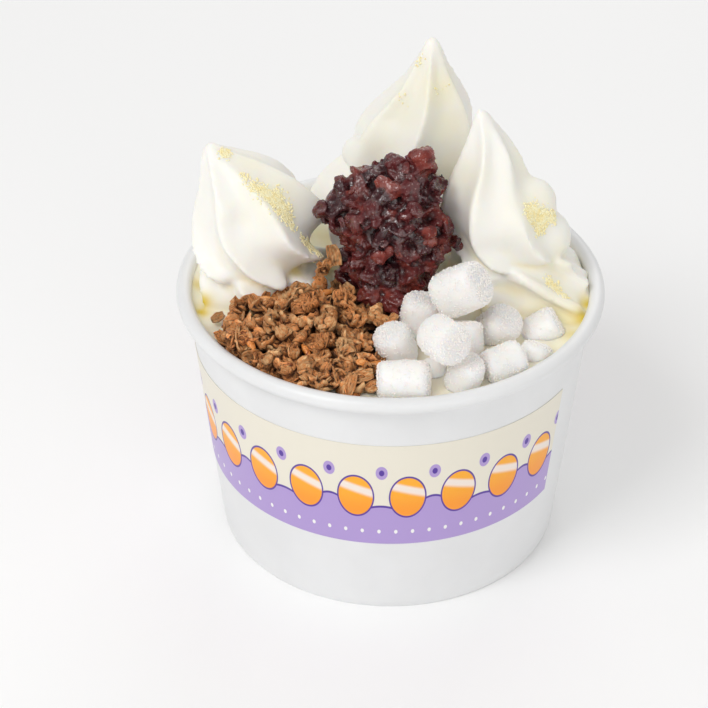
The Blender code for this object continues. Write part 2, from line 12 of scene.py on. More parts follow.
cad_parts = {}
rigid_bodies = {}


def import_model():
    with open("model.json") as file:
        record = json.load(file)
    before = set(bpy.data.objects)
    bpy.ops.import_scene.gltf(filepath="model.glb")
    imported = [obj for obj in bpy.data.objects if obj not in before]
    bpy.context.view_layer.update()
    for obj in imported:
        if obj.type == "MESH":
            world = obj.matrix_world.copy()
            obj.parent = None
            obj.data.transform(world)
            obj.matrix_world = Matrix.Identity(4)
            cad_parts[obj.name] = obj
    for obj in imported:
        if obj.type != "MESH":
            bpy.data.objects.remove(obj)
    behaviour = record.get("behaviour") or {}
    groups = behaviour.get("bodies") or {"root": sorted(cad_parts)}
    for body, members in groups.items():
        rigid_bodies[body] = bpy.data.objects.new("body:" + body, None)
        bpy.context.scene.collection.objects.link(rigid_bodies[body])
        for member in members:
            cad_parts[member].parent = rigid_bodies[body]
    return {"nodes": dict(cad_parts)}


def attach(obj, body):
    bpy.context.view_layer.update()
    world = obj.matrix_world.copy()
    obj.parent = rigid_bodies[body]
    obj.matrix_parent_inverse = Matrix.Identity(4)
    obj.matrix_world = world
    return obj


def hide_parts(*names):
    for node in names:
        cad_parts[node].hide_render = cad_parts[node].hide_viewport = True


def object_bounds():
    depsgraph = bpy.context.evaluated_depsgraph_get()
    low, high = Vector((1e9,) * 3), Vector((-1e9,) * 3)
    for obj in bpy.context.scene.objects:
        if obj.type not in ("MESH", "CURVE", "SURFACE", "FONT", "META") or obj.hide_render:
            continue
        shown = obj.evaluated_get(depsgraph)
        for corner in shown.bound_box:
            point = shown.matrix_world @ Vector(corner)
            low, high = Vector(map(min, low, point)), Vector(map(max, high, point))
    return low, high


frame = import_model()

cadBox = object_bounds()
mm = 0.001
scene = bpy.context.scene


# Camera, fitted to the cup's rim, roll and foot in the 708 pixel frame
photo = {
    "elevation": 35.23,
    "distance": 618.4 * mm,
    "target": Vector((-9.77, 0, 50.71)) * mm,
    "focalPixels": 2250,
    "pixels": 708,
    "sensor": 36,
}


def makeCamera():
    data = bpy.data.cameras.new("camera")
    camera = bpy.data.objects.new("camera", data)
    scene.collection.objects.link(camera)
    tilt = math.radians(photo["elevation"])
    back = Vector((0, -math.cos(tilt), math.sin(tilt)))
    camera.location = photo["target"] + back * photo["distance"]
    camera.rotation_mode = "QUATERNION"
    camera.rotation_quaternion = (-back).to_track_quat("-Z", "Y")
    data.sensor_width = photo["sensor"]
    data.lens = photo["focalPixels"] / photo["pixels"] * photo["sensor"]
    data.clip_start = 0.02
    data.clip_end = 20
    scene.camera = camera
    return camera


camera = makeCamera()


# Start and direction of the camera's ray through a pixel of the photo
def pixelRay(x, y):
    half = photo["pixels"] / 2
    inCamera = Vector(((x - half) / photo["focalPixels"], (half - y) / photo["focalPixels"], -1))
    return camera.location.copy(), (camera.rotation_quaternion @ inCamera).normalized()


# Node helpers: short calls to add and link shader nodes
class Nodes:
    def __init__(self, tree):
        self.tree = tree

    def add(self, kind, settings=None, **inputs):
        node = self.tree.nodes.new(kind)
        for key, value in (settings or {}).items():
            setattr(node, key, value)
        for key, value in inputs.items():
            self.put(node, key, value)
        return node

    def put(self, node, key, value):
        socket = node.inputs[int(key[1:])] if key[0] == "i" and key[1:].isdigit() else node.inputs[key]
        if isinstance(value, bpy.types.NodeSocket):
            self.tree.links.new(value, socket)
        else:
            socket.default_value = value

    def math(self, operation, first, second=0.0, third=0.0, clamp=False):
        settings = {"operation": operation, "use_clamp": clamp}
        return self.add("ShaderNodeMath", settings, i0=first, i1=second, i2=third).outputs[0]

    def mix(self, share, first, second, blend="MIX"):
        settings = {"data_type": "RGBA", "blend_type": blend}
        node = self.add("ShaderNodeMix", settings, i0=share, i6=first, i7=second)
        return node.outputs[2]

    # The value's share of the way from low to high, smooth at both ends
    def ramp(self, value, low, high):
        settings = {"interpolation_type": "SMOOTHSTEP"}
        node = self.add("ShaderNodeMapRange", settings, i0=value, i1=low, i2=high)
        return node.outputs[0]

    def noise(self, place, scale, detail=2.0, rough=0.5):
        node = self.add("ShaderNodeTexNoise", Vector=place, Scale=scale, Detail=detail, Roughness=rough)
        return node.outputs["Fac"]

    def attribute(self, name):
        return self.add("ShaderNodeAttribute", {"attribute_name": name}).outputs["Fac"]

    def objectPlace(self):
        return self.add("ShaderNodeTexCoord").outputs["Object"]


def newMaterial(name, **inputs):
    made = bpy.data.materials.new(name)
    made.use_nodes = True
    shader = made.node_tree.nodes["Principled BSDF"]
    nodes = Nodes(made.node_tree)
    for key, value in inputs.items():
        nodes.put(shader, key.replace("_", " "), value)
    return made, nodes, shader


# An empty shader node group with its inputs and outputs
def shaderGroup(name, inputs, outputs):
    tree = bpy.data.node_groups.new(name, "ShaderNodeTree")
    kinds = {"colour": "NodeSocketColor", "value": "NodeSocketFloat", "normal": "NodeSocketVector"}
    for key, kind in inputs:
        tree.interface.new_socket(key, in_out="INPUT", socket_type=kinds[kind])
    for key, kind in outputs:
        tree.interface.new_socket(key, in_out="OUTPUT", socket_type=kinds[kind])
    nodes = Nodes(tree)
    return tree, nodes, nodes.add("NodeGroupInput"), nodes.add("NodeGroupOutput")


# Two colours in soft patches of a given scale
def mottleGroup():
    inputs = (("Scale", "value"), ("First", "colour"), ("Second", "colour"))
    tree, nodes, given, out = shaderGroup("mottle", inputs, (("Color", "colour"),))
    patch = nodes.noise(nodes.objectPlace(), given.outputs["Scale"], 3.0, 0.6)
    share = nodes.ramp(patch, 0.3, 0.7)
    nodes.put(out, "Color", nodes.mix(share, given.outputs["First"], given.outputs["Second"]))
    return tree


mottle = mottleGroup()


def mottled(nodes, scale, first, second):
    group = nodes.add("ShaderNodeGroup", {"node_tree": mottle}, Scale=scale, First=first, Second=second)
    return group.outputs[0]


# Fine paper fibres: their height and the normal that they give
def fibreGroup():
    outputs = (("Fibre", "value"), ("Normal", "normal"))
    tree, nodes, given, out = shaderGroup("paper_fibre", (("Strength", "value"),), outputs)
    fibre = nodes.noise(nodes.objectPlace(), 900.0, 3.0, 0.6)
    raised = nodes.add("ShaderNodeBump", Strength=given.outputs["Strength"], Distance=0.0002, Height=fibre)
    nodes.put(out, "Fibre", fibre)
    nodes.put(out, "Normal", raised.outputs[0])
    return tree


paperFibre = fibreGroup()


def bump(nodes, shader, height, strength, distance):
    node = nodes.add("ShaderNodeBump", Strength=strength, Distance=distance, Height=height)
    nodes.put(shader, "Normal", node.outputs[0])


# Mesh helpers
def newPiece(name, verts, faces, material):
    mesh = bpy.data.meshes.new(name)
    mesh.from_pydata([tuple(v) for v in verts], [], faces)
    mesh.update()
    mesh.shade_smooth()
    mesh.materials.append(material)
    piece = bpy.data.objects.new(name, mesh)
    scene.collection.objects.link(piece)
    return piece


def declare(piece, node):
    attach(piece, "root")
    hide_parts(node)


# Vertices and faces through rings of points, each end closed round its middle
def lofted(rings):
    count = len(rings[0])
    verts = [point for ring in rings for point in ring]
    faces = []
    for row in range(len(rings) - 1):
        for i in range(count):
            j = (i + 1) % count
            low, high = row * count, (row + 1) * count
            faces.append((low + i, low + j, high + j, high + i))
    for row, flip in ((0, True), (len(rings) - 1, False)):
        middle = sum((Vector(v) for v in rings[row]), Vector()) / count
        verts.append(middle)
        for i in range(count):
            trio = (row * count + i, row * count + (i + 1) % count, len(verts) - 1)
            faces.append(trio[::-1] if flip else trio)
    return verts, faces


def ball(centre, radii, turn=Matrix.Identity(3), sides=24, rows=14):
    rings = []
    for row in range(1, rows):
        angle = math.pi * row / rows
        flat, up = math.sin(angle), -math.cos(angle)
        rings.append([
            centre + turn @ Vector((radii[0] * flat * c, radii[1] * flat * s, radii[2] * up))
            for c, s in compass(sides)
        ])
    return lofted(rings)


def compass(count):
    return [(math.cos(math.tau * i / count), math.sin(math.tau * i / count)) for i in range(count)]


# One skin round all the parts, made by a voxel remesh that is then applied
def voxelMerged(name, parts, voxel, material):
    verts, faces = [], []
    for partVerts, partFaces in parts:
        start = len(verts)
        verts.extend(partVerts)
        faces.extend(tuple(start + i for i in face) for face in partFaces)
    piece = newPiece(name, verts, faces, material)
    remesh = piece.modifiers.new("skin", "REMESH")
    remesh.mode = "VOXEL"
    remesh.voxel_size = voxel
    remesh.use_smooth_shade = True
    return applied(piece, material)


# Takes the piece's modifiers into its mesh
def applied(piece, material):
    graph = bpy.context.evaluated_depsgraph_get()
    result = bpy.data.meshes.new_from_object(piece.evaluated_get(graph))
    piece.modifiers.clear()
    piece.data = result
    result.materials.clear()
    result.materials.append(material)
    result.shade_smooth()
    return piece


def places(piece):
    co = np.empty(len(piece.data.vertices) * 3)
    piece.data.vertices.foreach_get("co", co)
    return co.reshape(-1, 3)


def setPlaces(piece, co):
    piece.data.vertices.foreach_set("co", co.ravel())
    piece.data.update()


def normalsOf(piece):
    normals = np.empty(len(piece.data.vertices) * 3)
    piece.data.vertex_normals.foreach_get("vector", normals)
    return normals.reshape(-1, 3)


def edgesOf(piece):
    pairs = np.empty(len(piece.data.edges) * 2, dtype=np.int32)
    piece.data.edges.foreach_get("vertices", pairs)
    return pairs.reshape(-1, 2)


# Laplacian smoothing; with a spring each round pushes back, which keeps the size
def relaxed(co, edges, rounds, share, spring=0.0, weights=1.0):
    count = len(co)
    both = np.concatenate([edges, edges[:, ::-1]])
    degree = np.maximum(np.bincount(both[:, 0], minlength=count), 1)
    for _ in range(rounds):
        for step in (share, -spring):
            if step == 0:
                continue
            mean = np.stack([
                np.bincount(both[:, 0], weights=co[both[:, 1], axis], minlength=count) / degree
                for axis in range(3)
            ], axis=1)
            co = co + (mean - co) * step * weights
    return co


def storeFloats(piece, name, values):
    layer = piece.data.attributes.new(name, "FLOAT", "POINT")
    layer.data.foreach_set("value", np.asarray(values, dtype=np.float32))


# 1 at a spot, falling smoothly to nothing at about twice the reach in millimetres
def fallOff(co, spot, reach):
    return np.exp(-(np.linalg.norm(co - np.array(spot), axis=1) / (reach * mm)) ** 2)


# How strongly each point is covered by patches that the camera's rays place
def patchField(tree, co, patches):
    field = np.zeros(len(co))
    for patch in patches:
        spot = tree.ray_cast(*pixelRay(*patch["pixel"]))[0]
        if spot is None:
            print("nothing lies at", patch["pixel"])
            continue
        field = np.maximum(field, patch.get("amount", 1.0) * fallOff(co, spot, patch["reach"]))
    field[field < 0.02] = 0
    return field


def treeOf(*pieces):
    bm = bmesh.new()
    for piece in pieces:
        bm.from_mesh(piece.data)
    tree = BVHTree.FromBMesh(bm)
    bm.free()
    return tree


# Stores for each point the share of upward rays that something close by stops, which the grains' colour
# paints as shade
def storeGapShade(pieces, grounds, count, reach):
    tree = treeOf(*pieces, *grounds)
    upward = [way for way in spreadDirections(count) if way.z > 0.1]
    for piece in pieces:
        starts = places(piece) + normalsOf(piece) * 0.1 * mm
        stopped = [sum(tree.ray_cast(start, way, reach)[0] is not None for way in upward) for start in starts]
        storeFloats(piece, "gap", np.array(stopped) / len(upward))


# The rows with a smooth curve through them and steps - 1 new rows in each gap
def smoothRows(rows, steps):
    rows = [np.array(row, dtype=float) for row in rows]
    made = []
    for i in range(len(rows) - 1):
        before = rows[max(i - 1, 0)]
        first, second = rows[i], rows[i + 1]
        after = rows[min(i + 2, len(rows) - 1)]
        for step in range(steps):
            t = step / steps
            made.append(0.5 * (
                2 * first + (second - before) * t
                + (2 * before - 5 * first + 4 * second - after) * t * t
                + (3 * first - before - 3 * second + after) * t ** 3
            ))
    made.append(rows[-1])
    return made


# Cup: fine turned paper with a rolled rim, and a lapped seam up its side
cupSettings = {
    "rim": 57.47 * mm,
    "height": 76.0 * mm,
    "roll": 2.1 * mm,
    "foot": 47.0 * mm,
    "wallTop": 54.3 * mm,
    "wall": 0.9 * mm,
    "footWall": 1.6 * mm,
    "recess": 5.0 * mm,
    "sides": 224,
    "rollSteps": 20,
    "seamAngle": 14.0,
    "seamWidth": 5.0 * mm,
    "seamRise": 0.22 * mm,
}


def wallRadius(height):
    cup = cupSettings
    return cup["foot"] + (cup["wallTop"] - cup["foot"]) * height / (cup["height"] - 2 * cup["roll"])


def paperMaterial():
    made, nodes, shader = newMaterial("paper", Roughness=0.36)
    nodes.put(shader, "Base Color", mottled(nodes, 45.0, (0.815, 0.82, 0.825, 1), (0.785, 0.79, 0.795, 1)))
    nodes.put(shader, "Subsurface Weight", 0.12)
    nodes.put(shader, "Subsurface Radius", (1.0, 0.9, 0.8))
    nodes.put(shader, "Subsurface Scale", 0.0012)
    fibre = nodes.add("ShaderNodeGroup", {"node_tree": paperFibre}, Strength=0.06)
    nodes.put(shader, "Normal", fibre.outputs["Normal"])
    nodes.put(shader, "Roughness", nodes.math("MULTIPLY_ADD", fibre.outputs["Fibre"], 0.12, 0.3))
    return made


def makeCup():
    cup = cupSettings
    rollX, rollZ = cup["rim"] - cup["roll"], cup["height"] - cup["roll"]
    last = -math.acos((cup["wallTop"] - rollX) / cup["roll"])
    roll = []
    for step in range(cup["rollSteps"] + 1):
        angle = math.pi + (last - math.pi) * step / cup["rollSteps"]
        roll.append((rollX + cup["roll"] * math.cos(angle), rollZ + cup["roll"] * math.sin(angle)))
    floorTop = cup["recess"] + cup["wall"]
    inner = [(wallRadius(floorTop) - cup["wall"] - 2.2 * mm, floorTop)]
    inner += [(wallRadius(floorTop) - cup["wall"] - 0.5 * mm, floorTop + 0.4 * mm)]
    inner += [(wallRadius(h * mm) - cup["wall"], h * mm) for h in (8.5, 24, 40, 56)]
    outer = [(wallRadius(h * mm), h * mm) for h in (62, 54, 46, 38, 30, 22, 14, 7, 2.4)]
    outer += [(cup["foot"] + 0.02 * mm, 0.7 * mm), (cup["foot"] - 0.35 * mm, 0.0)]
    under = [
        (cup["foot"] - cup["footWall"] + 0.35 * mm, 0.0),
        (cup["foot"] - cup["footWall"], 0.5 * mm),
        (wallRadius(cup["recess"]) - cup["footWall"] - 0.1 * mm, cup["recess"] - 0.7 * mm),
        (wallRadius(cup["recess"]) - cup["footWall"] - 0.9 * mm, cup["recess"]),
        (30 * mm, cup["recess"]),
        (12 * mm, cup["recess"]),
    ]
    profile = [(12 * mm, floorTop), (30 * mm, floorTop), *inner, *roll, *outer, *under]
    rings = []
    for radius, height in profile:
        ring = []
        for c, s in compass(cup["sides"]):
            angle = math.degrees(math.atan2(s, c)) - cup["seamAngle"]
            offset = math.radians(angle) * radius
            outside = radius >= wallRadius(height) - 0.1 * mm and height < rollZ - cup["roll"]
            share = min(max(1 - offset / cup["seamWidth"], 0), 1) if offset >= 0 else 0
            lift = cup["seamRise"] * share if outside and height > 1 * mm else 0
            ring.append(Vector(((radius + lift) * c, (radius + lift) * s, height)))
        rings.append(ring)
    verts, faces = lofted(rings)
    piece = newPiece("paper_cup", verts, [face[::-1] for face in faces], paperMaterial())
    piece.data.set_sharp_from_angle(angle=math.radians(50))
    declare(piece, "cup")
    return piece


print("cup")
cupPiece = makeCup()


# Label: a printed band, cream above and lilac below, with discs
labelSettings = {
    "low": 24.5 * mm,
    "high": 59.5 * mm,
    "inner": 0.04 * mm,
    "outer": 0.14 * mm,
    "start": -math.tau * 5 / 56,
    "sweep": -math.tau * 46 / 56,
    "steps": 260,
    "rows": 10,
    "cream": (0.83, 0.785, 0.67, 1),
    "lilac": (0.44, 0.32, 0.66, 1),
    "violet": (0.085, 0.03, 0.33, 1),
    "orange": (1.0, 0.43, 0.016, 1),
    "deepOrange": (1.0, 0.33, 0.012, 1),
    "white": (0.9, 0.89, 0.88, 1),
    "period": 20.5,
    "discRadius": 6.8,
    "smallRadius": 2.3,
    "outline": 0.62,
}


# 1 inside a disc that repeats every period along the label, in millimetres
def discMask(nodes, u, v, middleV, radius, shift, edge=0.12):
    period = labelSettings["period"]
    moved = nodes.math("ADD", u, shift)
    cell = nodes.math("SUBTRACT", nodes.math("WRAP", moved, period, 0.0), period / 2)
    high = nodes.math("SUBTRACT", v, middleV)
    square = nodes.math("ADD", nodes.math("MULTIPLY", cell, cell), nodes.math("MULTIPLY", high, high))
    away = nodes.math("SQRT", square)
    return nodes.ramp(away, radius + edge, radius - edge), cell, high


def labelMaterial():
    look = labelSettings
    made, nodes, shader = newMaterial("label_print", Roughness=0.34)
    uv = nodes.add("ShaderNodeUVMap", {"uv_map": "band"}).outputs[0]
    split = nodes.add("ShaderNodeSeparateXYZ", Vector=uv)
    u = nodes.math("MULTIPLY", split.outputs[0], 400.0)
    v = nodes.math("MULTIPLY", split.outputs[1], 35.0)
    swell = nodes.math("SINE", nodes.math("MULTIPLY", u, math.tau / 41.0))
    scallop = nodes.math("ABSOLUTE", nodes.math("SINE", nodes.math("MULTIPLY", u, math.pi / 20.5)))
    edge = nodes.math("ADD", nodes.math("MULTIPLY", swell, 1.6), nodes.math("MULTIPLY", scallop, 4.2))
    above = nodes.math("SUBTRACT", v, nodes.math("ADD", edge, 11.0))
    lower = nodes.ramp(above, 0.15, -0.15)
    line = nodes.ramp(nodes.math("ABSOLUTE", nodes.math("SUBTRACT", above, 0.1)), 0.48, 0.28)
    colour = nodes.mix(lower, look["cream"], look["lilac"])
    colour = nodes.mix(line, colour, look["violet"])
    rim, cell, high = discMask(nodes, u, v, 17.0, look["discRadius"] + look["outline"], look["period"] / 2)
    colour = nodes.mix(rim, colour, look["violet"])
    disc, cell, high = discMask(nodes, u, v, 17.0, look["discRadius"], look["period"] / 2)
    fade = nodes.ramp(high, -5.5, 3.0)
    orange = nodes.mix(fade, look["deepOrange"], look["orange"])
    glossLine = nodes.math("ADD", high, nodes.math("MULTIPLY", cell, 0.22))
    gloss = nodes.math(
        "MULTIPLY", nodes.ramp(glossLine, 0.6, 2.2), nodes.ramp(glossLine, 4.6, 3.4)
    )
    orange = nodes.mix(nodes.math("MULTIPLY", gloss, 0.82), orange, look["white"])
    colour = nodes.mix(disc, colour, orange)
    small, cell, high = discMask(nodes, u, v, 25.6, look["smallRadius"], 0.0)
    colour = nodes.mix(small, colour, look["lilac"])
    core, cell, high = discMask(nodes, u, v, 25.6, look["smallRadius"] * 0.45, 0.0)
    colour = nodes.mix(core, colour, look["violet"])
    finer = [nodes.math("MULTIPLY", value, 3.0) for value in (u, v)]
    dots, cell, high = discMask(nodes, *finer, 13.5, 2.1, 3.0)
    dots = nodes.math("MULTIPLY", dots, lower)
    colour = nodes.mix(dots, colour, look["white"])
    nodes.put(shader, "Base Color", colour)
    fibre = nodes.add("ShaderNodeGroup", {"node_tree": paperFibre}, Strength=0.05)
    nodes.put(shader, "Normal", fibre.outputs["Normal"])
    return made


def makeLabel():
    look = labelSettings
    steps, rows = look["steps"], look["rows"]
    verts, faces, uvs = [], [], []
    for side, offset in enumerate((look["outer"], look["inner"])):
        for i in range(steps + 1):
            angle = look["start"] + look["sweep"] * i / steps
            for j in range(rows + 1):
                height = look["low"] + (look["high"] - look["low"]) * j / rows
                radius = wallRadius(height) + offset
                verts.append(Vector((radius * math.cos(angle), radius * math.sin(angle), height)))
                uvs.append((1 - i / steps, j / rows))
    def at(side, i, j):
        return side * (steps + 1) * (rows + 1) + i * (rows + 1) + j
    for i in range(steps):
        for j in range(rows):
            faces.append((at(0, i, j), at(0, i, j + 1), at(0, i + 1, j + 1), at(0, i + 1, j)))
            faces.append((at(1, i, j), at(1, i + 1, j), at(1, i + 1, j + 1), at(1, i, j + 1)))
        for j, flip in ((0, False), (rows, True)):
            quad = (at(0, i, j), at(0, i + 1, j), at(1, i + 1, j), at(1, i, j))
            faces.append(quad[::-1] if flip else quad)
    for j in range(rows):
        for i, flip in ((0, True), (steps, False)):
            quad = (at(0, i, j), at(0, i, j + 1), at(1, i, j + 1), at(1, i, j))
            faces.append(quad[::-1] if flip else quad)
    piece = newPiece("printed_band", verts, faces, labelMaterial())
    layer = piece.data.uv_layers.new(name="band")
    for loop in piece.data.loops:
        layer.data[loop.index].uv = uvs[loop.vertex_index]
    piece.data.set_sharp_from_angle(angle=math.radians(50))
    declare(piece, "label")
    return piece


print("label")
makeLabel()


# Frozen yogurt: the same rows as the solid, with finer folds, merged into one skin
swirls = {
    "left": {
        "hollow": 0.145,
        "curl": (
            (77.5, -36.0, 2.0, 7.0, 1.0),
            (79.5, -36.0, 2.2, 13.5, 1.0),
            (82.0, -35.6, 2.6, 17.3, 0.92),
            (85.5, -35.0, 3.0, 18.8, 0.55),
            (90.0, -34.5, 3.0, 18.9, 0.24),
            (94.0, -34.6, 3.0, 18.2, 0.06),
            (99.0, -35.8, 3.3, 15.8, 0.0),
            (104.0, -38.2, 4.0, 12.4, 0.0),
            (108.5, -42.0, 5.0, 8.0, 0.0),
            (111.5, -45.4, 5.7, 4.0, 0.0),
            (113.5, -47.2, 6.0, 1.2, 0.0),
        ),
        "curlFolds": ((-124, -65), (-67, 2), (0, 62), (58, 120), (116, 175), (174, 233)),
        "lobes": (),
        "coil": (
            (58.0, -32.5, 2.0, 21.5, 1.0),
            (68.0, -32.5, 2.0, 21.5, 0.9),
            (74.0, -33.0, 2.0, 21.0, 0.75),
            (78.0, -33.5, 2.3, 19.5, 0.5),
            (80.8, -34.3, 2.6, 16.0, 0.2),
            (82.0, -35.0, 3.0, 9.0, 0.0),
        ),
        "coilFolds": ((-117, -75), (-55, -10), (5, 45), (66, 110), (127, 170), (188, 230)),
    },
    "back": {
        "hollow": 0.145,
        "curl": (
            (84.0, 5.0, 30.0, 8.0, 1.0),
            (87.0, 5.0, 30.5, 15.0, 0.6),
            (92.0, 5.5, 31.0, 18.5, 0.2),
            (98.0, 6.2, 31.0, 19.0, 0.0),
            (103.0, 7.0, 31.0, 17.8, 0.0),
            (107.5, 8.2, 31.0, 15.8, 0.0),
            (112.2, 9.6, 31.0, 12.8, 0.0),
            (118.0, 10.5, 30.5, 8.9, 0.0),
            (122.5, 10.8, 30.3, 6.2, 0.0),
            (127.5, 11.1, 30.0, 3.7, 0.0),
            (130.5, 11.1, 30.0, 2.2, 0.0),
            (131.9, 11.0, 30.0, 0.9, 0.0),
        ),
        "curlFolds": ((-97, -85), (-35, -20), (25, 40), (85, 100), (145, 160), (203, 215)),
        "lobes": (((-8.8, 29.6, 97.4), 4.9),),
        "coil": (
            (60.0, 4.0, 27.0, 25.0, 1.0),
            (72.0, 4.0, 27.0, 26.5, 0.8),
            (82.0, 3.5, 28.0, 26.5, 0.5),
            (87.0, 4.0, 29.0, 24.0, 0.3),
            (91.0, 5.0, 30.0, 20.0, 0.1),
            (94.0, 5.0, 31.0, 12.0, 0.0),
        ),
        "coilFolds": ((-97, -60), (-35, 5), (25, 65), (85, 125), (145, 185), (203, 240)),
    },
    "right": {
        "hollow": 0.145,
        "curl": (
            (82.0, 31.5, 0.0, 7.0, 0.6),
            (84.0, 31.2, 0.5, 12.5, 0.4),
            (87.0, 30.6, 1.0, 15.7, -0.25),
            (91.0, 30.0, 2.0, 16.4, -0.7),
            (95.5, 29.0, 2.0, 15.8, -0.8),
            (100.0, 27.6, 2.4, 14.3, -0.68),
            (104.0, 26.3, 3.0, 12.0, -0.48),
            (108.0, 25.8, 3.5, 10.2, -0.3),
            (113.0, 25.3, 4.0, 7.9, -0.1),
            (117.5, 24.6, 4.5, 5.3, 0.0),
            (121.8, 23.6, 5.0, 2.7, 0.0),
            (124.0, 22.9, 5.0, 1.0, 0.0),
        ),
        "curlFolds": ((-99, -69), (-41, -11), (16, 46), (74, 104), (134, 164), (200, 230)),
        "lobes": (((37.0, 2.2, 98.0), 6.8), ((40.0, 0.6, 88.6), 7.8)),
        "coil": (
            (58.0, 36.0, 0.0, 22.5, 1.0),
            (66.0, 36.0, 1.0, 22.5, 1.0),
            (74.0, 36.0, 1.0, 22.0, 1.0),
            (77.0, 35.0, 1.0, 20.5, 0.85),
            (80.0, 33.0, 1.0, 18.5, 0.65),
            (84.0, 31.5, 1.5, 16.5, 0.35),
            (86.5, 30.0, 2.0, 13.5, 0.0),
            (87.5, 30.0, 2.0, 7.0, 0.0),
        ),
        "coilFolds": ((-90, -52), (-32, -18), (25, 35), (85, 95), (150, 160), (212, 240)),
    },
}
yogurtSettings = {
    "foldSamples": 14,
    "rowSteps": 7,
    "voxel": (0.7 * mm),
    "wobble": 0.7 * mm,
    "wobbleSize": 19 * mm,
    "fullRadius": 9.0,
    "ripple": 0.22 * mm,
    "rippleSize": 5.5 * mm,
    "wallClearance": 0.8 * mm,
    "overGap": 0.5 * mm,
    "overRise": 4.0 * mm,
    "overEdge": 1.5 * mm,
    "fillFront": 72.4 * mm,
    "fillBack": 73.0 * mm,
    "wave": 0.5 * mm,
    "waveSize": 17 * mm,
    "cut": 60 * mm,
    "intoWall": 0.4 * mm,
    "climb": 1.1 * mm,
    "evenRounds": 5,
    "rounds": 10,
    "sharpRounds": 18,
    "sharper": 0.95,
    "softRounds": 90,
}

# Where the skin is smoothed more, by the photo's pixel, with the reach in millimetres
softSpots = (
    {"pixel": (532, 204), "reach": 7.0},
    {"pixel": (545, 228), "reach": 5.5},
    {"pixel": (350, 152), "reach": 6.0},
    {"pixel": (583, 266), "reach": 6.0},
    {"pixel": (590, 282), "reach": 5.0},
)
# Ridges and grooves along lines of the photo's pixels, with reach and rise in millimetres
seams = (
    {"line": ((487, 279), (507, 276), (536, 286), (563, 300), (582, 311)), "reach": 1.7, "rise": 1.0},
    {"line": ((498, 288), (524, 294), (550, 307), (572, 320)), "reach": 2.0, "rise": -0.8},
    {"line": ((560, 262), (572, 266), (584, 274), (594, 283)), "reach": 1.6, "rise": 1.0},
    {"line": ((564, 254), (576, 259), (588, 267)), "reach": 2.0, "rise": -0.5},
    {"line": ((556, 270), (572, 277), (588, 289)), "reach": 2.4, "rise": -0.6},
    {"line": ((203, 268), (207, 285), (217, 301), (233, 314)), "reach": 2.0, "rise": 0.4},
)
# Edges drawn towards a lip: pixel, reach in millimetres and shift in pixels
pulls = (
    {"pixel": (275, 279), "reach": 3.0, "shift": (10, 5)},
    {"pixel": (315, 255), "reach": 2.6, "shift": (7, 0)},
)
# Soft bumps and dents on the folds, by pixel, in millimetres
dimples = (
    {"pixel": (240, 219), "reach": 3.2, "rise": -0.35},
    {"pixel": (226, 212), "reach": 3.2, "rise": 0.6},
    {"pixel": (206, 212), "reach": 3.0, "rise": 0.5},
    {"pixel": (262, 243), "reach": 5.0, "rise": 0.4},
    {"pixel": (500, 232), "reach": 4.0, "rise": 0.5},
    {"pixel": (488, 160), "reach": 3.5, "rise": -0.3},
    {"pixel": (528, 240), "reach": 3.4, "rise": -0.6},
    {"pixel": (395, 118), "reach": 5.0, "rise": -0.4},
    {"pixel": (370, 140), "reach": 4.0, "rise": 0.4},
    {"pixel": (520, 346), "reach": 3.2, "rise": -2.2},
    {"pixel": (536, 350), "reach": 3.2, "rise": -2.4},
    {"pixel": (554, 344), "reach": 3.0, "rise": -1.8},
)


# How far from the axis the yogurt may reach at a height
def room(height):
    cup, look = cupSettings, yogurtSettings
    inside = wallRadius(min(height, cup["height"] - 2 * cup["roll"])) - cup["wall"] - look["wallClearance"]
    share = min(max((height - cup["height"] - look["overGap"]) / look["overRise"], 0), 1)
    return inside + (cup["rim"] - look["overEdge"] - inside) * share


def keptIn(point):
    reach = math.hypot(point.x, point.y)
    most = room(point.z)
    return point if reach <= most else Vector((point.x * most / reach, point.y * most / reach, point.z))


def swirlRing(row, folds, hollow):
    look = yogurtSettings
    height, x, y, radius, turnedBy = row
    corners = [math.radians(top + (low - top) * turnedBy) for top, low in folds]
    middle = Vector((x, y, height)) * mm
    soft = min(1, radius / look["fullRadius"])
    ring = []
    for first, second in zip(corners, [*corners[1:], corners[0] + math.tau]):
        spread = second - first
        for sample in range(look["foldSamples"]):
            share = sample / look["foldSamples"]
            flat = math.cos(spread / 2) / math.cos((share - 0.5) * spread)
            reach = max(radius, 0.2) * mm * flat * (1 - hollow * math.sin(math.pi * share))
            angle = first + spread * share
            point = middle + Vector((math.cos(angle), math.sin(angle), 0)) * reach
            point += noise.noise_vector(point / look["wobbleSize"]) * look["wobble"] * soft
            point += noise.noise_vector(point / look["rippleSize"]) * look["ripple"] * soft
            ring.append(keptIn(point))
    return ring


# The yogurt between the swirls: a wavy disc with its side down inside the cup
def fillTop():
    look = yogurtSettings
    edge = wallRadius(look["fillFront"]) - cupSettings["wall"] + look["intoWall"]
    sides = 120
    rings = []
    for share in (0.5, 1.0):
        radius = (wallRadius(look["cut"]) - cupSettings["wall"] - 0.1 * mm) * share
        rings.append([Vector((radius * c, radius * s, look["cut"])) for c, s in compass(sides)])
    for step in range(30, 0, -1):
        radius = edge * step / 30
        ring = []
        for c, s in compass(sides):
            x, y = radius * c, radius * s
            back = min(max((y + 45 * mm) / (60 * mm), 0), 1)
            wave = noise.noise(Vector((x, y, 0)) / look["waveSize"]) * look["wave"]
            fine = noise.noise(Vector((x, y, 7 * mm)) / (5 * mm)) * 0.35 * mm
            climb = look["climb"] * max(0, (radius - edge) / (3 * mm) + 1) ** 2
            height = look["fillFront"] + (look["fillBack"] - look["fillFront"]) * back + wave + fine + climb
            ring.append(Vector((x, y, height)))
        rings.append(ring)
    return lofted(rings)


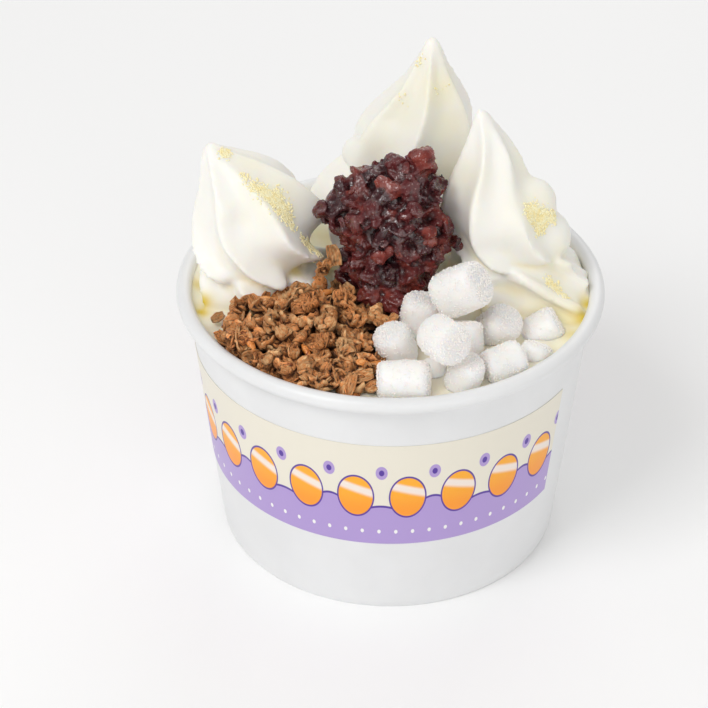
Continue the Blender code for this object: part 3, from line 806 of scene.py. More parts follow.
def yogurtMaterial():
    made, nodes, shader = newMaterial("yogurt", Roughness=0.42)
    place = nodes.objectPlace()
    split = nodes.add("ShaderNodeSeparateXYZ", Vector=place)
    # Painted shade: the colour turns yellower below about 78.5 mm, where the lower levels lie in shade
    low = nodes.ramp(split.outputs[2], 0.0785, 0.0735)
    tints = (
        (low, 0.5, (0.93, 0.85, 0.58, 1)),
        # painted crease shade, tinted yellow, by the depth of each crease
        (nodes.attribute("hollow"), 0.75, (0.90, 0.80, 0.50, 1)),
        (nodes.attribute("haze"), 0.8, (0.93, 0.865, 0.58, 1)),
        (nodes.attribute("honey"), 1.0, (0.74, 0.56, 0.05, 1)),
        (nodes.attribute("dust"), 0.9, (0.93, 0.82, 0.42, 1)),
    )
    colour = mottled(nodes, 60.0, (0.925, 0.912, 0.862, 1), (0.92, 0.90, 0.84, 1))
    for mask, strength, tint in tints:
        colour = nodes.mix(nodes.math("MULTIPLY", mask, strength), colour, tint)
    nodes.put(shader, "Base Color", colour)
    nodes.put(shader, "Subsurface Weight", 0.4)
    nodes.put(shader, "Subsurface Radius", (1.0, 0.75, 0.45))
    nodes.put(shader, "Subsurface Scale", 0.0018)
    nodes.put(shader, "Specular IOR Level", 0.35)
    fine = nodes.noise(place, 420.0, 3.0, 0.6)
    bump(nodes, shader, fine, 0.10, 0.0004)
    return made


def makeYogurt():
    look = yogurtSettings
    finish = yogurtMaterial()
    parts = [fillTop()]
    for swirl in swirls.values():
        for part in ("coil", "curl"):
            rows = smoothRows(swirl[part], look["rowSteps"])
            rings = [swirlRing(row, swirl[part + "Folds"], swirl["hollow"]) for row in rows]
            parts.append(lofted(rings))
        for middle, radius in swirl["lobes"]:
            parts.append(ball(Vector(middle) * mm, [radius * mm] * 3))
    piece = voxelMerged("yogurt_swirls", parts, look["voxel"], finish)
    edges = edgesOf(piece)
    co = relaxed(places(piece), edges, look["evenRounds"], 0.5)
    co = relaxed(co, edges, look["rounds"], 0.5, 0.52)
    co = co + (co - relaxed(co, edges, look["sharpRounds"], 0.5)) * look["sharper"]
    co = relaxed(co, edges, 2, 0.5)
    co[:, 2] = np.minimum(co[:, 2], cadBox[1][2] - 0.1 * mm)
    setPlaces(piece, co)
    tree = treeOf(piece)
    soft = patchField(tree, co, softSpots)[:, None]
    co = relaxed(co, edges, look["softRounds"], 0.6, 0.0, soft)
    setPlaces(piece, co)
    tree = treeOf(piece)
    normals = normalsOf(piece)
    turn = camera.rotation_quaternion
    for pull in pulls:
        spot = tree.ray_cast(*pixelRay(*pull["pixel"]))[0]
        pixel = (spot - camera.location).length / photo["focalPixels"]
        shift = turn @ Vector((pull["shift"][0] * pixel, -pull["shift"][1] * pixel, 0))
        share = fallOff(co, spot, pull["reach"])
        co = co + share[:, None] * np.array(shift)
    for dimple in dimples:
        spot = tree.ray_cast(*pixelRay(*dimple["pixel"]))[0]
        share = fallOff(co, spot, dimple["reach"])
        co = co + normals * (dimple["rise"] * mm * share)[:, None]
    for seam in seams:
        share = np.zeros(len(co))
        for (x0, y0), (x1, y1) in zip(seam["line"], seam["line"][1:]):
            for step in range(6):
                spot = tree.ray_cast(*pixelRay(x0 + (x1 - x0) * step / 6, y0 + (y1 - y0) * step / 6))[0]
                if spot is not None:
                    share = np.maximum(share, fallOff(co, spot, seam["reach"]))
        co = co + normals * (seam["rise"] * mm * share)[:, None]
    setPlaces(piece, co)
    return piece


print("yogurt")
yogurtPiece = makeYogurt()


# The plain part of the filling, inside the cup and out of sight
def addLowerYogurt(piece):
    cup = cupSettings
    low = cup["recess"] + cup["wall"] + 0.4 * mm
    top = yogurtSettings["cut"] + 1 * mm
    rings = []
    for height, share in ((low, 0.5), (low, 1.0), (30 * mm, 1.0), (top, 1.0), (top, 0.5)):
        radius = (wallRadius(height) - cup["wall"] - (1.0 if height == low else 0.6) * mm) * share
        rings.append([Vector((radius * c, radius * s, height)) for c, s in compass(96)])
    verts, faces = lofted(rings)
    bm = bmesh.new()
    bm.from_mesh(piece.data)
    made = [bm.verts.new(v) for v in verts]
    for face in faces:
        bm.faces.new([made[i] for i in face]).smooth = True
    bm.to_mesh(piece.data)
    bm.free()


# How deep each point lies in a crease, from how far heavy smoothing would lift it; the yogurt's material
# paints a yellowed crease shade by it
def setHollow(piece):
    co = places(piece)
    edges = edgesOf(piece)
    rounds = 60
    lifted = relaxed(co, edges, rounds, 0.6)
    depth = np.einsum("ij,ij->i", lifted - co, normalsOf(piece))
    hollow = np.clip((depth - 0.35 * mm) / (1.0 * mm), 0, 1)
    hollow[co[:, 2] < 66 * mm] = 0
    storeFloats(piece, "hollow", hollow)


# Marshmallows: rounded cylinders on the same axes as the solids, sugared on the cut faces
marshmallowSettings = {
    "sides": 56,
    "edge": 1.9 * mm,
    "bulge": 0.04,
    "squareness": 0.06,
    "dent": 0.5 * mm,
    "dentSize": 4.5 * mm,
    "swell": 0.4 * mm,
    "carve": 0.45 * mm,
    "sideSugar": 0.16,
    "seed": 8,
}


# Middle, axis, radius and half length of a marshmallow's solid
def cylinderOf(node):
    solid = frame["nodes"][node]
    mesh = solid.data
    mesh.calc_loop_triangles()
    areas = {}
    for triangle in mesh.loop_triangles:
        normal = triangle.normal
        key = tuple(round(c, 1) for c in normal)
        total, facing = areas.get(key, (0.0, Vector()))
        areas[key] = (total + triangle.area, facing + normal * triangle.area)
    axis = max(areas.values(), key=lambda pair: pair[0])[1].normalized()
    corners = np.array([v.co for v in mesh.vertices])
    corners = np.unique(np.round(corners, 6), axis=0)
    middle = Vector((corners.max(axis=0) + corners.min(axis=0)) / 2)
    along = [(Vector(c) - middle).dot(axis) for c in corners]
    middle += axis * (max(along) + min(along)) / 2
    away = [((Vector(c) - middle) - axis * (Vector(c) - middle).dot(axis)).length for c in corners]
    return middle, axis, max(away), (max(along) - min(along)) / 2


def marshmallowShape(middle, axis, radius, half, seed, grow=0.0, sides=None):
    look = marshmallowSettings
    rng = random.Random(seed)
    phases = [rng.uniform(0, math.tau) for _ in range(3)]
    amounts = [rng.uniform(0.4, 1.0) for _ in range(3)]
    lean = [Vector((rng.uniform(-0.09, 0.09), rng.uniform(-0.09, 0.09))) for _ in range(2)]
    edge = look["edge"]
    profile = [((radius - edge) * share, -half) for share in (0.25, 0.5, 0.75)]
    for step in range(5):
        angle = math.pi / 2 * step / 4
        profile.append((radius - edge + edge * math.sin(angle), -half + edge - edge * math.cos(angle)))
    profile += [(radius, (half - edge) * share) for share in (-0.6, -0.2, 0.2, 0.6)]
    profile += [(r, -z) for r, z in reversed(profile[:8])]
    turn = axis.to_track_quat("Z", "X").to_matrix()
    rings, sugar = [], []
    for r, z in profile:
        ring = []
        belly = 1 - look["bulge"] * (z / half) ** 2
        ends = lean[0] if z < 0 else lean[1]
        for c, s in compass(sides or look["sides"]):
            angle = math.atan2(s, c)
            uneven = 1 - look["squareness"] * sum(
                amount * (0.5 + 0.5 * math.cos((k + 2) * angle + phase))
                for k, (amount, phase) in enumerate(zip(amounts, phases))
            ) / 1.4
            reach = r * uneven * belly + grow
            shift = (c * ends.x + s * ends.y) * reach * (z / half) ** 2
            local = Vector((reach * c, reach * s, z * (1 + grow / half) - abs(shift) * math.copysign(1, z)))
            point = middle + turn @ local
            dent = look["dent"] * (0.5 + 0.5 * noise.noise(point / look["dentSize"]))
            point -= turn @ Vector((c, s, 0)) * dent
            ring.append(point)
            cutFace = 1.0 if abs(z) > half - edge * 0.5 else 0.0
            sugar.append(cutFace)
        rings.append(ring)
    verts, faces = lofted(rings)
    return verts, faces, sugar + [1.0, 1.0]


def marshmallowMaterial():
    made, nodes, shader = newMaterial("marshmallow", Roughness=0.55)
    sugar = nodes.attribute("sugar")
    place = nodes.objectPlace()
    side = mottled(nodes, 210.0, (1.0, 0.93, 0.87, 1), (1.0, 0.96, 0.915, 1))
    face = mottled(nodes, 700.0, (1.0, 0.945, 0.91, 1), (1.0, 0.98, 0.96, 1))
    nodes.put(shader, "Base Color", nodes.mix(sugar, side, face))
    nodes.put(shader, "Subsurface Weight", 0.8)
    nodes.put(shader, "Subsurface Radius", (1.0, 0.75, 0.6))
    nodes.put(shader, "Subsurface Scale", 0.0028)
    grit = nodes.noise(place, 2400.0, 2.0, 0.7)
    soft = nodes.noise(place, 330.0, 2.0)
    rough = nodes.math("MULTIPLY_ADD", sugar, 0.6, 0.2)
    height = nodes.math("ADD", nodes.math("MULTIPLY", grit, rough), nodes.math("MULTIPLY", soft, 0.5))
    bump(nodes, shader, height, 0.5, 0.0005)
    nodes.put(shader, "Roughness", nodes.math("MULTIPLY_ADD", sugar, 0.15, 0.45))
    return made


def makeMarshmallows():
    finish = marshmallowMaterial()
    pieces, grown = [], []
    for number in range(1, 13):
        node = f"marshmallow_{number:02d}"
        middle, axis, radius, half = cylinderOf(node)
        seed = marshmallowSettings["seed"] + number
        swell = marshmallowSettings["swell"]
        verts, faces, sugar = marshmallowShape(middle, axis, radius, half, seed, swell)
        piece = newPiece(f"soft_{node}", verts, faces, finish)
        rng = random.Random(seed)
        patchy = []
        for vert, cutFace in zip(verts, sugar):
            patch = noise.noise(Vector(vert) / (3.2 * mm)) * 0.8 + rng.uniform(-0.1, 0.1)
            patchy.append(max(cutFace, marshmallowSettings["sideSugar"] + min(max(patch, 0), 0.4)))
        storeFloats(piece, "sugar", patchy)
        declare(piece, node)
        pieces.append(piece)
        grow = marshmallowSettings["carve"]
        verts, faces, _ = marshmallowShape(middle, axis, radius, half, seed, grow, 28)
        grown.append(newPiece(f"bed_{number}", verts, faces, finish))
    return pieces, grown


print("marshmallows")
marshmallows, grownMarshmallows = makeMarshmallows()


# Cuts the marshmallows' beds out of the yogurt
def carve(piece, cutters, material):
    group = bpy.data.collections.new("beds")
    for cutter in cutters:
        group.objects.link(cutter)
    cut = piece.modifiers.new("beds", "BOOLEAN")
    cut.operation = "DIFFERENCE"
    cut.operand_type = "COLLECTION"
    cut.collection = group
    cut.solver = "MANIFOLD"
    applied(piece, material)
    for cutter in cutters:
        bpy.data.objects.remove(cutter)
    bpy.data.collections.remove(group)


carve(yogurtPiece, grownMarshmallows, yogurtPiece.data.materials[0])
setHollow(yogurtPiece)


# Crumbs of pale powder: where they lie, by the photo's pixels, with each patch's reach and amount
crumbPatches = (
    {"pixel": (225, 153), "reach": 1.3, "amount": 1.0},
    {"pixel": (246, 178), "reach": 1.6, "amount": 0.3},
    {"pixel": (256, 187), "reach": 1.8, "amount": 0.5},
    {"pixel": (266, 194), "reach": 2.2, "amount": 0.8},
    {"pixel": (275, 199), "reach": 2.5, "amount": 1.0},
    {"pixel": (281, 207), "reach": 2.5, "amount": 1.0},
    {"pixel": (287, 216), "reach": 1.9, "amount": 0.8},
    {"pixel": (292, 226), "reach": 1.3, "amount": 0.5},
    {"pixel": (303, 240), "reach": 1.4, "amount": 0.5},
    {"pixel": (311, 247), "reach": 1.8, "amount": 0.8},
    {"pixel": (318, 252), "reach": 1.6, "amount": 0.6},
    {"pixel": (532, 213), "reach": 2.1, "amount": 1.0},
    {"pixel": (543, 217), "reach": 1.9, "amount": 1.0},
    {"pixel": (552, 218), "reach": 1.2, "amount": 0.8},
    {"pixel": (539, 226), "reach": 1.7, "amount": 1.0},
    {"pixel": (550, 283), "reach": 1.5, "amount": 0.6},
    {"pixel": (556, 289), "reach": 1.6, "amount": 0.8},
    {"pixel": (563, 295), "reach": 1.4, "amount": 0.6},
    {"pixel": (421, 62), "reach": 1.3, "amount": 0.16},
    {"pixel": (441, 88), "reach": 2.2, "amount": 0.05},
    {"pixel": (404, 98), "reach": 2.6, "amount": 0.04},
)
# A pale yellow haze of fine powder: middle pixel, reach and amount
hazePatches = (
    {"pixel": (438, 90), "reach": 7.0, "amount": 0.75},
    {"pixel": (446, 125), "reach": 7.0, "amount": 0.55},
    {"pixel": (405, 105), "reach": 9.0, "amount": 0.45},
    {"pixel": (380, 142), "reach": 9.0, "amount": 0.35},
    {"pixel": (275, 195), "reach": 8.0, "amount": 0.5},
    {"pixel": (250, 165), "reach": 6.0, "amount": 0.4},
    {"pixel": (310, 240), "reach": 6.0, "amount": 0.4},
    {"pixel": (450, 168), "reach": 7.0, "amount": 0.5},
    {"pixel": (468, 178), "reach": 6.0, "amount": 0.45},
    {"pixel": (536, 212), "reach": 7.0, "amount": 0.5},
    {"pixel": (525, 165), "reach": 7.0, "amount": 0.35},
    {"pixel": (562, 322), "reach": 9.0, "amount": 0.8},
    {"pixel": (552, 296), "reach": 6.0, "amount": 0.45},
    {"pixel": (560, 258), "reach": 6.0, "amount": 0.4},
)


# Saturated yellow where syrup has gathered
honeyPatches = (
    {"pixel": (203, 302), "reach": 2.4, "amount": 1.0},
    {"pixel": (201, 312), "reach": 2.2, "amount": 1.0},
    {"pixel": (198, 285), "reach": 2.6, "amount": 0.6},
    {"pixel": (584, 318), "reach": 2.8, "amount": 1.0},
    {"pixel": (589, 305), "reach": 2.4, "amount": 1.0},
    {"pixel": (592, 296), "reach": 1.8, "amount": 0.8},
    {"pixel": (572, 334), "reach": 2.4, "amount": 0.5},
    {"pixel": (481, 304), "reach": 1.8, "amount": 0.7},
    {"pixel": (516, 322), "reach": 1.8, "amount": 0.7},
    {"pixel": (296, 272), "reach": 2.0, "amount": 0.55},
)


# Stores how much powder, haze and syrup lie at each point
def setDust(piece):
    tree = treeOf(piece)
    co = places(piece)
    storeFloats(piece, "dust", patchField(tree, co, crumbPatches))
    storeFloats(piece, "haze", patchField(tree, co, hazePatches))
    storeFloats(piece, "honey", patchField(tree, co, honeyPatches))


setDust(yogurtPiece)


# Geometry Nodes: scatters grains over a surface, as many as its attribute says
def scatterTree():
    tree = bpy.data.node_groups.new("scatter", "GeometryNodeTree")
    face = tree.interface
    face.new_socket("Geometry", in_out="INPUT", socket_type="NodeSocketGeometry")
    for name, kind, value in (
        ("Grain", "NodeSocketObject", None),
        ("Amount Name", "NodeSocketString", ""),
        ("Density", "NodeSocketFloat", 1.0),
        ("Smallest", "NodeSocketFloat", 0.5),
        ("Largest", "NodeSocketFloat", 1.0),
        ("Seed", "NodeSocketInt", 1),
        ("Material", "NodeSocketMaterial", None),
    ):
        socket = face.new_socket(name, in_out="INPUT", socket_type=kind)
        if value is not None:
            socket.default_value = value
    face.new_socket("Geometry", in_out="OUTPUT", socket_type="NodeSocketGeometry")
    nodes = tree.nodes
    link = tree.links.new
    given = nodes.new("NodeGroupInput")
    amount = nodes.new("GeometryNodeInputNamedAttribute")
    amount.data_type = "FLOAT"
    link(given.outputs["Amount Name"], amount.inputs["Name"])
    density = nodes.new("ShaderNodeMath")
    density.operation = "MULTIPLY"
    link(amount.outputs[0], density.inputs[0])
    link(given.outputs["Density"], density.inputs[1])
    spread = nodes.new("GeometryNodeDistributePointsOnFaces")
    link(given.outputs["Geometry"], spread.inputs["Mesh"])
    link(density.outputs[0], spread.inputs["Density"])
    link(given.outputs["Seed"], spread.inputs["Seed"])
    turn = nodes.new("FunctionNodeRandomValue")
    turn.data_type = "FLOAT_VECTOR"
    turn.inputs["Max"].default_value = (math.tau, math.tau, math.tau)
    link(given.outputs["Seed"], turn.inputs["Seed"])
    size = nodes.new("FunctionNodeRandomValue")
    size.data_type = "FLOAT"
    link(given.outputs["Smallest"], size.inputs[2])
    link(given.outputs["Largest"], size.inputs[3])
    link(given.outputs["Seed"], size.inputs["Seed"])
    shape = nodes.new("GeometryNodeObjectInfo")
    link(given.outputs["Grain"], shape.inputs["Object"])
    put = nodes.new("GeometryNodeInstanceOnPoints")
    link(spread.outputs["Points"], put.inputs["Points"])
    link(shape.outputs["Geometry"], put.inputs["Instance"])
    link(turn.outputs["Value"], put.inputs["Rotation"])
    link(size.outputs[1], put.inputs["Scale"])
    real = nodes.new("GeometryNodeRealizeInstances")
    link(put.outputs["Instances"], real.inputs["Geometry"])
    paint = nodes.new("GeometryNodeSetMaterial")
    link(real.outputs["Geometry"], paint.inputs["Geometry"])
    link(given.outputs["Material"], paint.inputs["Material"])
    out = nodes.new("NodeGroupOutput")
    link(paint.outputs["Geometry"], out.inputs["Geometry"])
    return tree


# Runs the piece's mesh through the tree and keeps the result as its mesh
def throughNodes(piece, tree, values, material):
    modifier = piece.modifiers.new("nodes", "NODES")
    modifier.node_group = tree
    for item in tree.interface.items_tree:
        if item.item_type == "SOCKET" and item.in_out == "INPUT" and item.name in values:
            modifier[item.identifier] = values[item.name]
    return applied(piece, material)


# A small uneven lump of twenty faces, or a squared crystal
def grainMesh(name, radius, seed, squared):
    bm = bmesh.new()
    if squared:
        bmesh.ops.create_cube(bm, size=radius * 1.5)
    else:
        bmesh.ops.create_icosphere(bm, subdivisions=0, radius=radius)
    rng = random.Random(seed)
    for vert in bm.verts:
        vert.co *= rng.uniform(0.75, 1.15)
    mesh = bpy.data.meshes.new(name)
    bm.to_mesh(mesh)
    bm.free()
    made = bpy.data.objects.new(name, mesh)
    scene.collection.objects.link(made)
    return made


scatter = scatterTree()

crumbSettings = {
    "name": "pale_crumbs",
    "slot": "frozen_yogurt",
    "radius": 0.36 * mm,
    "squared": False,
    "grainSeed": 3,
    "roughness": 0.75,
    "first": (0.98, 0.85, 0.44, 1),
    "second": (1.0, 0.96, 0.70, 1),
    "amount": "dust",
    "density": 1.6e7,
    "smallest": 0.5,
    "largest": 1.2,
    "seed": 4,
}
sugarSettings = {
    "name": "sugar_grains",
    "slot": "marshmallow",
    "radius": 0.21 * mm,
    "squared": True,
    "grainSeed": 6,
    "roughness": 0.4,
    "first": (1.0, 0.94, 0.89, 1),
    "second": (1.0, 0.98, 0.95, 1),
    "amount": "sugar",
    "density": 3.8e6,
    "smallest": 0.5,
    "largest": 1.25,
    "seed": 9,
}


# Grains scattered over the pieces that carry the amount's attribute
def makeGrains(look, grounds):
    made, nodes, shader = newMaterial(look["name"], Roughness=look["roughness"])
    nodes.put(shader, "Base Color", mottled(nodes, 1000.0, look["first"], look["second"]))
    grain = grainMesh("grain", look["radius"], look["grainSeed"], look["squared"])
    bm = bmesh.new()
    for ground in grounds:
        bm.from_mesh(ground.data)
    mesh = bpy.data.meshes.new(look["name"])
    bm.to_mesh(mesh)
    bm.free()
    piece = bpy.data.objects.new(look["name"], mesh)
    scene.collection.objects.link(piece)
    values = {
        "Grain": grain,
        "Amount Name": look["amount"],
        "Density": look["density"],
        "Smallest": look["smallest"],
        "Largest": look["largest"],
        "Seed": look["seed"],
        "Material": made,
    }
    throughNodes(piece, scatter, values, made)
    if look["squared"]:
        piece.data.shade_flat()
    bpy.data.objects.remove(grain)
    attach(piece, "root")
    return piece


print("crumbs and sugar")
makeGrains(crumbSettings, [yogurtPiece])
makeGrains(sugarSettings, marshmallows)

addLowerYogurt(yogurtPiece)
declare(yogurtPiece, "frozen_yogurt")


# Geometry Nodes: shapes put on points
# Puts one of a collection's shapes on each vertex, by its turn, size and pick
def placeTree():
    tree = bpy.data.node_groups.new("place_shapes", "GeometryNodeTree")
    face = tree.interface
    face.new_socket("Geometry", in_out="INPUT", socket_type="NodeSocketGeometry")
    face.new_socket("Shapes", in_out="INPUT", socket_type="NodeSocketCollection")
    face.new_socket("Material", in_out="INPUT", socket_type="NodeSocketMaterial")
    face.new_socket("Geometry", in_out="OUTPUT", socket_type="NodeSocketGeometry")
    nodes = tree.nodes
    link = tree.links.new
    given = nodes.new("NodeGroupInput")

    def named(name, kind):
        node = nodes.new("GeometryNodeInputNamedAttribute")
        node.data_type = kind
        node.inputs["Name"].default_value = name
        return node.outputs[0]

    shapes = nodes.new("GeometryNodeCollectionInfo")
    shapes.inputs["Separate Children"].default_value = True
    link(given.outputs["Shapes"], shapes.inputs["Collection"])
    put = nodes.new("GeometryNodeInstanceOnPoints")
    put.inputs["Pick Instance"].default_value = True
    link(given.outputs["Geometry"], put.inputs["Points"])
    link(shapes.outputs[0], put.inputs["Instance"])
    link(named("pick", "INT"), put.inputs["Instance Index"])
    link(named("turn", "FLOAT_VECTOR"), put.inputs["Rotation"])
    link(named("size", "FLOAT"), put.inputs["Scale"])
    real = nodes.new("GeometryNodeRealizeInstances")
    link(put.outputs["Instances"], real.inputs["Geometry"])
    paint = nodes.new("GeometryNodeSetMaterial")
    link(real.outputs["Geometry"], paint.inputs["Geometry"])
    link(given.outputs["Material"], paint.inputs["Material"])
    out = nodes.new("NodeGroupOutput")
    link(paint.outputs["Geometry"], out.inputs["Geometry"])
    return tree


shapePlacer = placeTree()


# One joined mesh of shapes, each on its spot, turned and sized
def placedShapes(name, node, finish, spots, shapes):
    group = bpy.data.collections.new(name + "_shapes")
    for i, (verts, faces, marks) in enumerate(shapes):
        shape = newPiece(f"{name}_{i:02d}", verts, faces, finish)
        for key, values in marks.items():
            storeFloats(shape, key, values)
        scene.collection.objects.unlink(shape)
        group.objects.link(shape)
    piece = newPiece(name, [spot["place"] for spot in spots], [], finish)
    storeFloats(piece, "size", [spot["size"] for spot in spots])
    storeFloats(piece, "tone", [spot["tone"] for spot in spots])
    picks = piece.data.attributes.new("pick", "INT", "POINT")
    picks.data.foreach_set("value", [spot["pick"] for spot in spots])
    turns = piece.data.attributes.new("turn", "FLOAT_VECTOR", "POINT")
    turns.data.foreach_set("vector", [c for spot in spots for c in spot["turn"]])
    throughNodes(piece, shapePlacer, {"Shapes": group, "Material": finish}, finish)
    for shape in list(group.objects):
        bpy.data.objects.remove(shape)
    bpy.data.collections.remove(group)
    declare(piece, node)
    return piece


# A toasted flake, folded along its length, with ridges and ruffled edges, one unit long
def flakeShape(rng, rows=11, sides=22, width=(0.5, 0.78), thick=0.19, curl=(0.7, 2.4)):
    fold = rng.uniform(*curl)
    twist = rng.uniform(-0.8, 0.8)
    hook = rng.uniform(0.3, 1.2)
    offset = Vector([rng.uniform(-50, 50) for _ in range(3)])
    wide = rng.uniform(*width)
    phase = rng.uniform(0, math.tau)
    rings, along, across = [], [], []
    for row in range(1, rows):
        far = -0.5 + row / rows
        girth = max(1 - (2 * far) ** 2, 0.0) ** 0.4
        ring = []
        for c, s in compass(sides):
            y = c * wide / 2 * girth
            ridges = 0.028 * math.cos(c * 2 * math.tau + phase) * (1 if s > 0 else 0.4)
            groove = -0.06 * math.exp(-(c / 0.16) ** 2) if s > 0 else 0.0
            ripple = 0.09 * (0.5 - abs(noise.noise(Vector((far * 5.5, y * 6, s)) + offset)) * 2)
            ruffle = 0.035 * c * c * math.sin(far * 12 + phase * 2 + c)
            lift = fold * y * y * 1.5 + far * far * hook
            high = thick * girth * s + groove + ridges + ripple + ruffle + lift
            place = Vector((far, y * (1 - 0.25 * fold * abs(y)), high))
            ring.append(Matrix.Rotation(twist * far, 3, "X") @ place)
            along.append(far)
            across.append(c)
        rings.append(ring)
    verts, faces = lofted(rings)
    return verts, faces, {"along": along + [-0.5, 0.5], "across": across + [0.0, 0.0]}


# One shape from several, each with its turn, size and shift
def shapesJoined(shapes):
    verts, faces, marks = [], [], {"along": [], "across": []}
    for (partVerts, partFaces, partMarks), turn, size, shift in shapes:
        start = len(verts)
        verts += [turn @ Vector(v) * size + shift for v in partVerts]
        faces += [tuple(start + i for i in face) for face in partFaces]
        for key in marks:
            marks[key] += partMarks[key]
    return verts, faces, marks


# Red bean: lumps over mounds, merged into one skin and then creased, with torn skins on it
beanSettings = {
    "mounds": (
        {"centre": (-0.3, -2.5, 95.0), "radii": (14.0, 13.2, 15.8), "beans": 40},
        {"centre": (-1.5, -8.0, 79.0), "radii": (11.0, 11.0, 12.0), "beans": 18},
        {"centre": (-9.9, -3.0, 100.0), "radii": (7.2, 6.6, 6.6), "beans": 3},
        {"centre": (4.6, -2.0, 107.0), "radii": (7.6, 7.0, 7.4), "beans": 4},
        {"centre": (9.8, -5.6, 91.5), "radii": (7.6, 7.0, 7.6), "beans": 3},
    ),
    "slimmer": 1.5,
    "length": (7.0, 10.0),
    "slimness": (0.68, 0.80),
    "rise": (-0.45, 0.25),
    "seed": 11,
    "bits": (62, 30, 12, 10, 12),
    "bitLength": (3.4, 9.0),
    "bitSeed": 23,
    "voxel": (0.4 * mm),
    "lump": 5.0 * mm,
    "lumpDepth": 1.1 * mm,
    "wrinkle": 2.0 * mm,
    "wrinkleDepth": 0.35 * mm,
    "fineCell": 0.9 * mm,
    "fineDepth": 0.14 * mm,
    "skins": 60,
    "skinSize": (2.4, 4.6),
    "skinSeed": 5,
}


def spreadDirections(count):
    golden = math.pi * (3 - math.sqrt(5))
    made = []
    for i in range(count):
        z = 1 - 2 * (i + 0.5) / count
        flat = math.sqrt(1 - z * z)
        made.append(Vector((math.cos(golden * i) * flat, math.sin(golden * i) * flat, z)))
    return made


def beanMaterial(name, gloss):
    made, nodes, shader = newMaterial(name, Roughness=0.4)
    place = nodes.objectPlace()
    tone = nodes.attribute("tone")
    patch = nodes.noise(place, 300.0, 3.0, 0.6)
    fine = nodes.noise(place, 900.0, 2.0, 0.6)
    mixed = nodes.math("ADD", nodes.math("MULTIPLY", tone, 0.6), nodes.math("MULTIPLY", patch, 0.5))
    colour = nodes.mix(nodes.ramp(mixed, 0.25, 0.6), (0.045, 0.010, 0.013, 1), (0.110, 0.017, 0.018, 1))
    colour = nodes.mix(nodes.ramp(mixed, 0.62, 0.98), colour, (0.27, 0.050, 0.034, 1))
    # Painted glints: sparse pale flecks in the colour that stand for wet highlights
    glint = nodes.ramp(nodes.noise(place, 1500.0, 2.0, 0.6), 0.63, 0.70)
    colour = nodes.mix(nodes.math("MULTIPLY", glint, 0.5), colour, (0.55, 0.38, 0.35, 1))
    # Painted shade: near black in the creases, by how deep each point lies in one
    colour = nodes.mix(nodes.attribute("crease"), colour, (0.006, 0.002, 0.003, 1))
    nodes.put(shader, "Base Color", colour)
    nodes.put(shader, "Subsurface Weight", 0.15)
    nodes.put(shader, "Subsurface Radius", (1.0, 0.25, 0.2))
    nodes.put(shader, "Subsurface Scale", 0.001)
    wet = nodes.ramp(nodes.noise(place, 360.0, 2.0), 0.60, 0.42)
    nodes.put(shader, "Specular IOR Level", nodes.math("MULTIPLY_ADD", wet, 0.8, 0.2))
    nodes.put(shader, "Roughness", nodes.math("MULTIPLY_ADD", wet, -0.3 * gloss, 0.38))
    bump(nodes, shader, fine, 0.6, 0.0007)
    return made


# 0 in the valleys between cells and 1 on their tops
def pebbled(point, size):
    distances, _ = noise.voronoi(point / size)
    return min((distances[1] - distances[0]) * 1.7, 1.0)


# The point and outward direction of a mound along a direction
def onMound(mound, direction):
    radii = [(r - beanSettings["slimmer"]) * mm for r in mound["radii"]]
    point = Vector(mound["centre"]) * mm + Vector([d * r for d, r in zip(direction, radii)])
    return point, Vector([d / r for d, r in zip(direction, radii)]).normalized()


